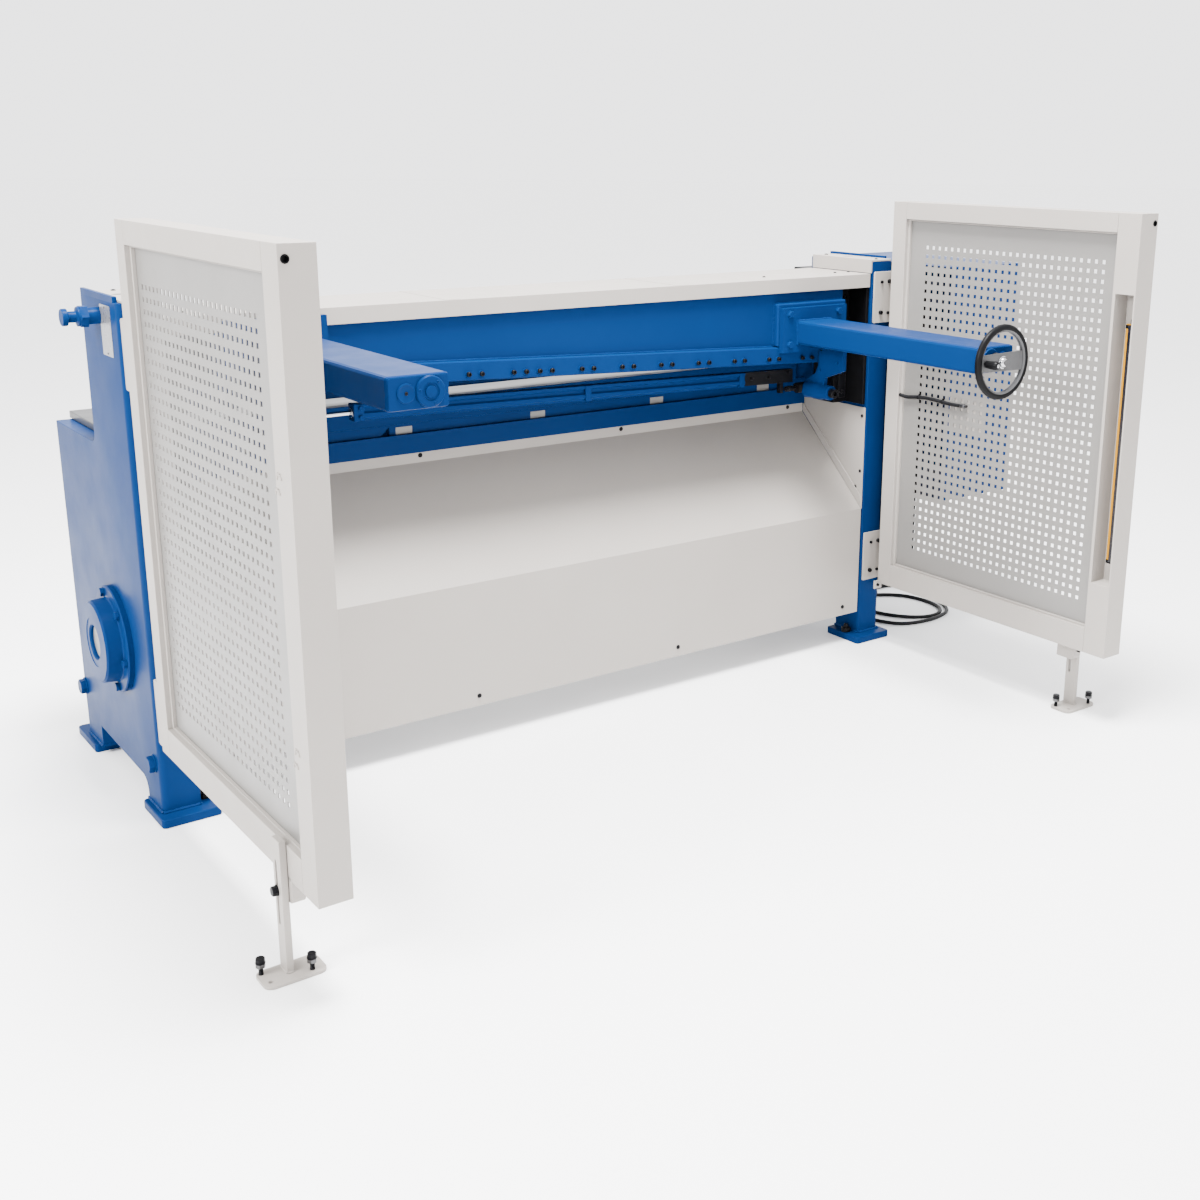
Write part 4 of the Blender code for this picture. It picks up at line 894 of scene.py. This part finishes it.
def make_arm_hardware(side):
    """Bolts of the arm's plate, the end plate with the round cover of the rod, and on the left arm the cover
    of the screw's bearing, with their screws.
    """
    sign, z = SIDES[side], arm_z(side)
    places = [((sign * x, -0.0243, z + h), REAR) for x in (0.7185, 0.9060) for h in (0.0545, -0.0330)]
    screws(f"{side}_arm_bolts", "ram", "blue_paint", hex_bolt, 0.0100, places)
    x = sign * ARM_X
    wide, high = ARM_WIDE / 2 - 0.0035, ARM_HIGH / 2 - 0.0035
    plate = rounded((x - wide, z - high), (x + wide, z + high), 0.006)
    slab(f"{side}_arm_end", "ram", "blue_paint", plate, "Y", ARM_END - 0.0006, ARM_END + 0.004)
    steps = [(0, 0.0195), (0.0022, 0.0192), (0.0028, 0.0170), (0.0022, 0.0160), (0.0022, 0.0032)]
    steps += [(0.0008, 0.0028)]
    place = aim((sign * ROD_X, ARM_END - 0.0006, z), REAR)
    turned(f"{side}_rod_cap", "ram", "blue_paint", steps, place, 32)
    screws(f"{side}_rod_screw", "ram", "blackened_steel", dome_screw, 0.0045,
           [((sign * ROD_X, ARM_END - 0.0020, z), REAR)])
    if side == "left":
        steps = [(0, 0.0312), (0.0040, 0.0310), (0.0060, 0.0290), (0.0062, 0.0180), (0.0040, 0.0172)]
        steps += [(0.0040, 0.0120), (0.0075, 0.0112), (0.0080, 0.0060)]
        place = aim((sign * SCREW_X, ARM_END - 0.0006, z), REAR)
        body = turned("left_screw_cover", "ram", "blue_paint", steps, place, 36)
        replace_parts(body, "left_screw_bearing")
        places = []
        for turn in (50, 170, 290):
            a = math.radians(turn)
            dx, dz = 0.0238 * math.cos(a), 0.0238 * math.sin(a)
            places.append(((sign * SCREW_X + dx, ARM_END - 0.0062, z + dz), REAR))
        screws("left_screw_cover_screws", "ram", "blue_paint", dome_screw, 0.0036, places)


def make_carriage(side):
    """Nut block inside the arm, neck through its slot, and a plate with a round boss at its foot."""
    sign, z = SIDES[side], arm_z(side)
    x = sign * ARM_X
    top = z - 0.036
    low = 0.8215 - FENCE_RAKE * x
    nut = bmesh.new()
    block(nut, (x - 0.051, -0.099, z - 0.0235), (x + 0.051, -0.046, z + 0.0235))
    nut = carve(nut, [
        lambda t: extrude(t, arc((sign * SCREW_X, z), 0.0110, 0, 345, 24), "Y", -0.12, 0.0),
        lambda t: extrude(t, arc((sign * ROD_X, z), 0.0103, 0, 345, 24), "Y", -0.12, 0.0),
    ])
    body = piece(f"{side}_carriage_nut", nut, "gauge", "blue_paint", edge=0.0015)
    plate = bmesh.new()
    block(plate, (x - 0.013, -0.098, z - 0.0375), (x + 0.013, -0.047, z - 0.020))
    block(plate, (x - sign * 0.020, -0.110, z - 0.0458), (sign * 0.858, -0.030, z - 0.0364))
    outline = [(-0.118, top - 0.001), (-0.118, low + 0.098), (-0.040, low + 0.069), (-0.036, low + 0.006)]
    outline += [(0.052, low), (0.052, low + 0.050), (0.000, low + 0.080), (-0.0105, low + 0.105)]
    outline += [(-0.0105, top - 0.024), (-0.0265, top - 0.024), (-0.0265, top - 0.001)]
    extrude(plate, outline, "X", sign * 0.844, sign * 0.8575)
    boss = (sign * 0.8480, -0.068, low + 0.027)
    lathe(plate, [(-0.105, 0.0245), (-0.040, 0.0245), (-0.030, 0.0215), (-0.002, 0.0215), (0, 0.0198)],
          aim(boss, REAR), 36)
    made = piece(f"{side}_carriage_plate", plate, "gauge", "blue_paint", edge=0.0018)
    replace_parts(made, f"{side}_carriage")
    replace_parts(body, f"{side}_carriage")
    screws(f"{side}_carriage_screw", "gauge", "blackened_steel", cap_screw, 0.0180, [(boss, REAR)])
    face = sign * 0.8440
    spots = ((-0.020, 0.090), (0.036, 0.020), (-0.095, 0.118))
    places = [((face, y, low + h), (-sign, 0, 0)) for y, h in spots]
    screws(f"{side}_carriage_bolts", "gauge", "blue_paint", hex_bolt, 0.0050, places)


def make_fence_hardware():
    """Black ribbed sleeve and nuts of the right link, bolts of the dark end plate."""
    link_low, link_high = machine_box("right_fence_link")
    z = (link_low.z + link_high.z) / 2
    y = (link_low.y + link_high.y) / 2
    steps = [(0.0, 0.0126)]
    for i in range(6):
        start = 0.0050 * i
        steps += [(start + 0.0018, 0.0158), (start + 0.0034, 0.0158), (start + 0.0046, 0.0134)]
    turned("link_sleeve", "gauge", "black_plastic", steps, aim((0.8105, y, z), (1, 0, 0)), 28)
    nuts = bmesh.new()
    for x in (0.768, 0.792):
        lathe(nuts, [(0, 0.0075), (0.001, 0.0088, "hex"), (0.008, 0.0088, "hex"), (0.009, 0.0072)],
              aim((x, y, z), (1, 0, 0)), 24)
    piece("link_nuts", nuts, "gauge", "blackened_steel")
    face = FENCE_Y - 0.009
    places = []
    for x, drop in ((0.640, 0.020), (0.706, 0.020), (0.780, 0.012)):
        places.append(((x, face, FENCE_MID_TOP - FENCE_RAKE * x - drop), REAR))
    screws("fence_end_bolts", "gauge", "blackened_steel", hex_bolt, 0.0050, places)
    top = FENCE_MID_TOP + FENCE_RAKE * 0.605
    corners = [((-0.6085, FENCE_Y - 0.018, top - 0.042), (-0.5990, FENCE_Y + 0.0145, top + 0.001))]
    boxes("fence_left_end", "gauge", "blue_paint", corners, edge=0.0015)
    screws("fence_left_bolts", "gauge", "blue_paint", hex_bolt, 0.0060,
           [((-0.590, FENCE_Y - 0.016, top - h), REAR) for h in (0.010, 0.033)])


# ---------------------------------------------------------------- handwheel
def make_handwheel():
    """Black rim with a grey inner band, flat grey bar, hub and chromed centre bolt."""
    place = aim((SCREW_X, WHEEL_Y, WHEEL_Z), REAR)
    tube = 0.0090
    rim = bmesh.new()
    middle = WHEEL_R - tube
    angles = [math.tau * i / 20 for i in range(20)]
    section = [(tube * math.sin(t), middle + tube * math.cos(t)) for t in angles]
    ring_solid(rim, section, place, 96)
    body = piece("wheel_rim", rim, "handwheel", "black_plastic")
    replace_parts(body, "handwheel")
    band = bmesh.new()
    inner = middle - tube
    section = [(-0.0052, inner + 0.0004), (-0.0046, inner - 0.0011), (0.0046, inner - 0.0011)]
    section += [(0.0064, inner + 0.0008), (0.0074, inner + 0.0042), (0.0060, inner + 0.0060)]
    section += [(-0.0040, inner + 0.0060)]
    ring_solid(band, section, place, 96)
    piece("wheel_band", band, "handwheel", "blackened_steel", GREY_CASTING)
    spoke = bmesh.new()
    reach = middle - 0.002
    outline = [(-reach, -0.0245), (reach, -0.0215), (reach, 0.0215), (-reach, 0.0245)]
    extrude(spoke, outline, "Z", -0.003, 0.003)
    spoke.transform(place @ Matrix.Rotation(math.pi, 4, "Z"))
    piece("wheel_spoke", spoke, "handwheel", "blackened_steel", GREY_CASTING, edge=0.001)
    steps = [(-0.024, 0.020), (-0.0225, 0.0215), (-0.004, 0.0215), (-0.002, 0.0200)]
    turned("wheel_hub", "handwheel", "black_plastic", steps, place, 32)
    steps = [(0.0025, 0.0162), (0.0045, 0.0162), (0.0050, 0.0138), (0.0085, 0.0134), (0.0115, 0.0120)]
    steps += [(0.0138, 0.0094), (0.0150, 0.0055)]
    turned("wheel_bolt", "handwheel", "chromed_steel", steps, place, 32)


def make_grip():
    """Revolving grip on the spoke, with the chromed end of its pin."""
    place = aim((SCREW_X - 0.062, WHEEL_Y, WHEEL_Z), REAR)
    steps = [(0.0034, 0.0078), (0.0060, 0.0092), (0.0150, 0.0104), (0.0320, 0.0113), (0.0385, 0.0108)]
    steps += [(0.0420, 0.0090), (0.0436, 0.0062), (0.0430, 0.0050)]
    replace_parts(turned("wheel_grip", "grip", "black_plastic", steps, place, 32), "handwheel_grip")
    steps = [(0.0424, 0.0048), (0.0440, 0.0046), (0.0445, 0.0030)]
    turned("wheel_grip_pin", "grip", "chromed_steel", steps, place, 20)


# ---------------------------------------------------------------- guards
HOLE = 0.0105
HOLE_COLUMNS, HOLE_ROWS = 27, 37
HOLE_FIELD = {"left": (-0.762, -0.144, 0.337, 1.247), "right": (-0.807, -0.181, 0.342, 1.252)}
SHEET_X = {"left": 1.135, "right": 1.106}
SHEET_THICK = 0.002


def make_guard_sheet(side):
    """Perforated panel: a grid of faces with its square holes left out, and their walls."""
    near, far, low, top = HOLE_FIELD[side]
    y0, y1 = GUARD_NEAR + COLUMN + GAP, STILE_Y - GAP
    z0, z1 = GUARD_LOW + LOW_RAIL + GAP, GUARD_HIGH - TOP_RAIL - GAP
    middles_y = [near + (far - near) * i / (HOLE_COLUMNS - 1) for i in range(HOLE_COLUMNS)]
    middles_z = [low + (top - low) * i / (HOLE_ROWS - 1) for i in range(HOLE_ROWS)]
    lines_y = [y0] + [m + s * HOLE / 2 for m in middles_y for s in (-1, 1)] + [y1]
    lines_z = [z0] + [m + s * HOLE / 2 for m in middles_z for s in (-1, 1)] + [z1]
    x_pair = span(side, SHEET_X[side] - SHEET_THICK / 2, SHEET_X[side] + SHEET_THICK / 2)
    bm = bmesh.new()
    grids = [[[bm.verts.new((x, y, z)) for z in lines_z] for y in lines_y] for x in x_pair]

    def wall(i, j, k, m):
        first, second = grids
        bm.faces.new((first[i][j], first[k][m], second[k][m], second[i][j]))

    def is_hole(i, j):
        return i % 2 == 1 and j % 2 == 1 and i < len(lines_y) - 2 and j < len(lines_z) - 2

    for i in range(len(lines_y) - 1):
        for j in range(len(lines_z) - 1):
            if is_hole(i, j):
                wall(i, j, i + 1, j)
                wall(i + 1, j, i + 1, j + 1)
                wall(i + 1, j + 1, i, j + 1)
                wall(i, j + 1, i, j)
            else:
                for grid in grids:
                    bm.faces.new((grid[i][j], grid[i + 1][j], grid[i + 1][j + 1], grid[i][j + 1]))
    for i in range(len(lines_y) - 1):
        wall(i, 0, i + 1, 0)
        wall(i, len(lines_z) - 1, i + 1, len(lines_z) - 1)
    for j in range(len(lines_z) - 1):
        wall(0, j, 0, j + 1)
        wall(len(lines_y) - 1, j, len(lines_y) - 1, j + 1)
    sheet = piece(f"{side}_perforated_sheet", bm, "machine", "warm_white_paint", SHEET_PAINT, smooth=20)
    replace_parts(sheet, f"{side}_guard_sheet")


def make_guard_frame(side):
    """Two uprights and two rails with open seams; the column has a slot and a cable hole."""
    x0, x1 = span(side, GUARD_IN, GUARD_OUT)
    column = bmesh.new()
    block(column, (x0, GUARD_NEAR, GUARD_LOW), (x1, GUARD_NEAR + COLUMN, GUARD_HIGH))
    slot = span(side, GUARD_IN - 0.02, 1.1410)
    hole = arc((SIDES[side] * GROMMET_X, GROMMET_Z), 0.0065, 0, 345, 24)
    column = carve(column, [
        lambda t: block(t, (slot[0], SLOT_Y[0], SLOT_Z[0]), (slot[1], SLOT_Y[1], SLOT_Z[1])),
        lambda t: extrude(t, hole, "Y", GUARD_NEAR - 0.01, GUARD_NEAR + 0.012),
    ])
    body = piece(f"{side}_guard_column", column, "machine", "warm_white_paint", edge=0.0014)
    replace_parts(body, f"{side}_guard_frame")
    corners = [((x0, STILE_Y, GUARD_LOW), (x1, GUARD_FAR, GUARD_HIGH))]
    for low, high in ((GUARD_LOW, GUARD_LOW + LOW_RAIL), (GUARD_HIGH - TOP_RAIL, GUARD_HIGH)):
        corners.append(((x0, GUARD_NEAR + COLUMN + GAP, low), (x1, STILE_Y - GAP, high)))
    boxes(f"{side}_guard_rails", "machine", "warm_white_paint", corners, edge=0.0014)


def make_sheet_strips(side):
    """Strips that hold the sheet in its frame, and the rivets of the upright one."""
    sheet = SHEET_X[side]
    open_side = -1 if side == "right" else 1
    depth = (sheet + open_side * 0.0011, sheet + open_side * 0.0090)
    a, b = span(side, *depth)
    y0, y1 = GUARD_NEAR + COLUMN, STILE_Y
    z0, z1 = GUARD_LOW + LOW_RAIL, GUARD_HIGH - TOP_RAIL
    boxes(f"{side}_sheet_strips", "machine", "warm_white_paint", [
        ((a, y1 - 0.009, z0), (b, y1, z1)),
        ((a, y0, z0), (b, y1 - 0.009, z0 + 0.005)),
        ((a, y0, z1 - 0.005), (b, y1 - 0.009, z1)),
    ], edge=0.0008)
    sign = SIDES[side]
    spots = bmesh.new()
    steps = [(-0.0003, 0.0036), (0.0006, 0.0034), (0.0010, 0.0018)]
    for i in range(5):
        point = (sign * depth[1], y1 - 0.0045, z0 + 0.07 + i * (z1 - z0 - 0.14) / 4)
        lathe(spots, steps, aim(point, (sign * open_side, 0, 0)), 14)
    piece(f"{side}_strip_rivets", spots, "machine", "warm_white_paint")


def make_grommet(side):
    steps = [(-0.010, 0.0060), (0.0006, 0.0064), (0.0006, 0.0080), (0.0014, 0.0076), (0.0014, 0.0056)]
    steps += [(-0.008, 0.0052)]
    place = aim((SIDES[side] * GROMMET_X, GUARD_NEAR, GROMMET_Z), REAR)
    turned(f"{side}_column_grommet", "machine", "black_plastic", steps, place, 24)


def make_guard_brackets(side):
    """Angle brackets between the guard and the rear of the side frame, with their screws."""
    sign = SIDES[side]
    brackets = bmesh.new()
    web, plate = span(side, 1.139, 1.146), span(side, 1.0685, 1.146)
    for low, high in BRACKET_Z:
        block(brackets, (web[0], GUARD_FAR - 0.010, low), (web[1], BRACKET_FACE, high))
        extrude(brackets, rounded((plate[0], low), (plate[1], high), 0.003, 3), "Y", BRACKET_FACE, -GAP)
    tab = span(side, 1.062, 1.092)
    block(brackets, (tab[0], -0.068, 0.186), (tab[1], -0.062, 0.212))
    piece(f"{side}_guard_brackets", brackets, "machine", "warm_white_paint", edge=0.0008)
    large, small = [], []
    pattern = ((1.0965, 0.123, small), (1.128, 0.124, large), (1.095, 0.031, large), (1.127, 0.029, small))
    for low, _ in BRACKET_Z:
        for x, rise, group in pattern:
            group.append(((sign * x, BRACKET_FACE, low + rise), REAR))
    small.append(((sign * 1.0730, -0.068, 0.199), REAR))
    screws(f"{side}_bracket_bolts", "machine", "blackened_steel", cap_screw, 0.0085, large)
    screws(f"{side}_bracket_screws", "machine", "blackened_steel", cap_screw, 0.0060, small)


def make_column_welds(side):
    """Four short ragged beads on the outer face of the column."""
    marks = bmesh.new()
    run = ((-0.009, -0.004), (-0.003, 0.005), (0.003, 0.002), (0.008, 0.006), (0.010, -0.005))
    for z in (0.975, 0.472):
        for dz, dy in ((0.014, -0.006), (-0.014, 0.004)):
            bead = [(SIDES[side] * GUARD_OUT, -0.868 + dy + p, z + dz + q) for p, q in run]
            weld(marks, bead, 0.0021, 0.0030)
    piece(f"{side}_column_welds", marks, "machine", "warm_white_paint")


def make_leg_bracket(side):
    """Block under the lower rail that the leg is clamped to, with its bolt."""
    sign = SIDES[side]
    a, b = span(side, 1.128, GUARD_OUT)
    outline = [(-0.737, 0.206), (-0.798, 0.206)]
    outline += arc((-0.786, 0.162), 0.012, 180, 270, 6) + [(-0.737, 0.150)]
    slab(f"{side}_leg_bracket", "machine", "warm_white_paint", outline, "X", a, b, edge=0.001)
    if side == "right":
        screws("right_leg_bracket_screw", "machine", "blackened_steel", cap_screw, 0.0075,
               [((sign * 1.142, -0.798, 0.178), REAR)])
    steps = [(0, 0.0040), (0.0162, 0.0040), (0.0163, 0.0110), (0.0185, 0.0110), (0.0187, 0.0100, "hex")]
    steps += [(0.0260, 0.0100, "hex"), (0.0275, 0.0084)]
    place = aim((sign * (GUARD_OUT - 0.001), -0.763, 0.172), (sign, 0, 0))
    turned(f"{side}_clamp_bolt", "machine", "blackened_steel", steps, place, 24)


def make_light_curtain(side):
    """Yellow housing at the back of the column's slot, with a black window and end caps."""
    sign = SIDES[side]
    low, high = machine_box(f"{side}_light_curtain")
    inner = high.x if side == "left" else low.x
    corners = [(tuple(low), (high.x, high.y, high.z - 0.014))]
    body = boxes(f"{side}_curtain_housing", "machine", "yellow_housing", corners, edge=0.0012)
    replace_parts(body, f"{side}_light_curtain")
    first = (inner - sign * 0.0012, low.y + 0.002, low.z + 0.004)
    corners = [(first, (inner + sign * 0.004, high.y - 0.0080, high.z - 0.016))]
    boxes(f"{side}_curtain_window", "machine", "black_plastic", corners, DARK_GLASS)
    caps = bmesh.new()
    block(caps, (low.x - 0.0006, low.y - 0.0006, low.z - 0.0004), (high.x, high.y + 0.0004, low.z + 0.010))
    block(caps, (low.x - 0.0006, low.y - 0.0006, high.z - 0.026), (high.x, high.y + 0.0004, high.z - 0.016))
    middle = (low + high) / 2
    lathe(caps, [(high.z - 0.018, 0.0085), (high.z - 0.004, 0.0085), (high.z, 0.0060)],
          Matrix.Translation((middle.x, middle.y, 0)), 20)
    piece(f"{side}_curtain_caps", caps, "machine", "black_plastic", edge=0.0006)


def make_patch():
    """White junction plate behind the right sheet, which closes the holes in front of it."""
    x = SHEET_X["right"] + SHEET_THICK / 2
    outline = rounded((-0.436, 0.738), (-0.300, 0.836), 0.006, 4)
    slab("cable_plate", "machine", "warm_white_paint", outline, "X", x + 0.0004, x + 0.0030, edge=0.0006)


# ---------------------------------------------------------------- guard legs
LEG_BOLTS = {"left": [(-1.211, -0.758), (-1.125, -0.798)], "right": [(1.110, -0.762), (1.203, -0.802)]}
SPARE_HOLE = {"left": (-1.206, -0.795), "right": (1.122, -0.799)}


def make_leg(side):
    """Slotted flat bar welded on a base plate with round corners, and its two jack bolts."""
    body = f"{side}_leg"
    a, b = span(side, GUARD_OUT + 0.0013, GUARD_OUT + 0.0150)
    bar = bmesh.new()
    block(bar, (a, -0.786, 0.0060), (b, -0.751, 0.280))
    slot = arc((-0.763, 0.231), 0.004, 0, 180, 8) + arc((-0.763, 0.104), 0.004, 180, 360, 8)
    bar = carve(bar, [lambda t: extrude(t, slot, "X", a - 0.01, b + 0.01)])
    made = piece(f"{side}_leg_bar", bar, body, "warm_white_paint", edge=0.0012)
    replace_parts(made, f"{side}_guard_leg")
    base = bmesh.new()
    x0, x1 = span(side, 1.098, 1.222)
    extrude(base, rounded((x0, -0.815), (x1, -0.745), 0.018, 8), "Z", 0.0, 0.0062)

    def hole(x, y, radius):
        return lambda t: extrude(t, arc((x, y), radius, 0, 342, 20), "Z", -0.01, 0.02)

    holes = [hole(x, y, 0.0052) for x, y in LEG_BOLTS[side]] + [hole(*SPARE_HOLE[side], 0.0048)]
    piece(f"{side}_leg_base", carve(base, holes), body, "warm_white_paint", edge=0.0010)
    beads = bmesh.new()
    ring = [(a, -0.786), (b, -0.786), (b, -0.751), (a, -0.751), (a, -0.786)]
    weld(beads, [(x, y, 0.0068) for x, y in ring], 0.0024, 0.0035)
    piece(f"{side}_leg_weld", beads, body, "warm_white_paint")
    bolts, nuts = bmesh.new(), bmesh.new()
    for x, y in LEG_BOLTS[side]:
        place = Matrix.Translation((x, y, 0))
        thread = [(0.0005, 0.0042)]
        for i in range(22):
            thread += [(0.0012 + 0.00125 * i, 0.0040), (0.0018 + 0.00125 * i, 0.0047)]
        steps = thread + [(0.0300, 0.0046), (0.0302, 0.0100), (0.0318, 0.0100), (0.0320, 0.0096, "hex")]
        steps += [(0.0395, 0.0096, "hex"), (0.0412, 0.0082)]
        lathe(bolts, steps, place, 24)
        steps = [(0.0215, 0.0085), (0.0220, 0.0098, "hex"), (0.0285, 0.0098, "hex"), (0.0292, 0.0085)]
        lathe(nuts, steps, place, 24)
    piece(f"{side}_jack_bolts", bolts, body, "blackened_steel")
    piece(f"{side}_jack_nuts", nuts, body, "machined_steel")


# ---------------------------------------------------------------- drive covers
def make_drive_covers():
    """Screws and pressed louvres on the motor cover, screws on the belt guard."""
    low, high = machine_box("motor_cover")
    louvres = bmesh.new()
    for row in range(9):
        z = low.z + 0.110 + 0.026 * row
        outline = [(high.x - 0.0006, z), (high.x - 0.0006, z + 0.014), (high.x, z + 0.013)]
        outline += [(high.x + 0.0060, z + 0.001)]
        extrude(louvres, outline, "Y", low.y + 0.120, high.y - 0.120)
    piece("cover_louvres", louvres, "machine", "blue_paint", edge=0.0006)
    places = []
    for y in (low.y + 0.030, (low.y + high.y) / 2, high.y - 0.030):
        for z in (low.z + 0.030, high.z - 0.030):
            places.append(((high.x, y, z), (1, 0, 0)))
    screws("motor_cover_screws", "machine", "blackened_steel", dome_screw, 0.0070, places)
    belt_low, belt_high = machine_box("belt_guard")
    middle = (belt_low.x + belt_high.x) / 2
    faces = ((belt_low.y, REAR), (belt_high.y, (0, 1, 0)))
    places = [((middle, y, z), way) for y, way in faces for z in (0.230, 0.660, 1.090)]
    screws("belt_guard_screws", "machine", "blackened_steel", dome_screw, 0.0060, places)


# ---------------------------------------------------------------- carried-over CAD nodes
def dress_nodes():
    """Gives each shown CAD node its procedural finish and a small rounding of its edges."""
    special = {
        "eccentric_shaft": ROUGH_STEEL, "lower_blade": SLOTS["blue_paint"],
        "right_fence_link": SLOTS["blackened_steel"],
    }
    thin = dict.fromkeys(("ram_top_cover", "scrap_chute", "left_top_cap", "right_top_cap"), 0.0012)
    thin |= dict.fromkeys(("left_chute_cheek", "right_chute_cheek"), 0.0005)
    for name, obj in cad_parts.items():
        if obj.hide_render:
            continue
        for holder in obj.material_slots:
            found = holder.material.name.split(".")[0] if holder.material else ""
            holder.material = special.get(name) or SLOTS.get(found) or SLOTS["blue_paint"]
        join = obj.modifiers.new("join", "WELD")
        join.merge_threshold = 1e-5
        edges_rounded(obj, thin.get(name, 0.0016))


def make_floor():
    bm = bmesh.new()
    outline = arc((0, 0), FLOOR_RADIUS, 0, 354.375, 64)
    bm.faces.new([bm.verts.new((x, y, 0)) for x, y in outline])
    floor = linked_object("floor", bm)
    floor.data.materials.append(pale_floor())


def main():
    make_camera()
    make_supply()
    make_curtain_cable()
    make_world()
    make_light("overhead", (-0.3, -0.9, 5.0), (0, -0.2, 0.5), 1.8, 1300)
    make_light("left", (-4.2, -0.8, 3.0), (-1.1, -0.3, 0.9), 1.6, 420)
    make_floor()
    for side in SIDES:
        make_side_frame(side)
        make_frame_hardware(side)
        make_bearing(side)
        make_arm_hardware(side)
        make_carriage(side)
        make_guard_sheet(side)
        make_guard_frame(side)
        make_sheet_strips(side)
        make_grommet(side)
        make_guard_brackets(side)
        make_column_welds(side)
        make_leg_bracket(side)
        make_light_curtain(side)
        make_leg(side)
    make_lifting_pin()
    make_label()
    make_top_cover()
    make_chute_screws()
    make_window_light_panes()
    for side in SIDES:
        make_chute_side(side)
    make_ram_hardware()
    make_fence_hardware()
    make_handwheel()
    make_grip()
    make_patch()
    make_drive_covers()
    dress_nodes()


main()
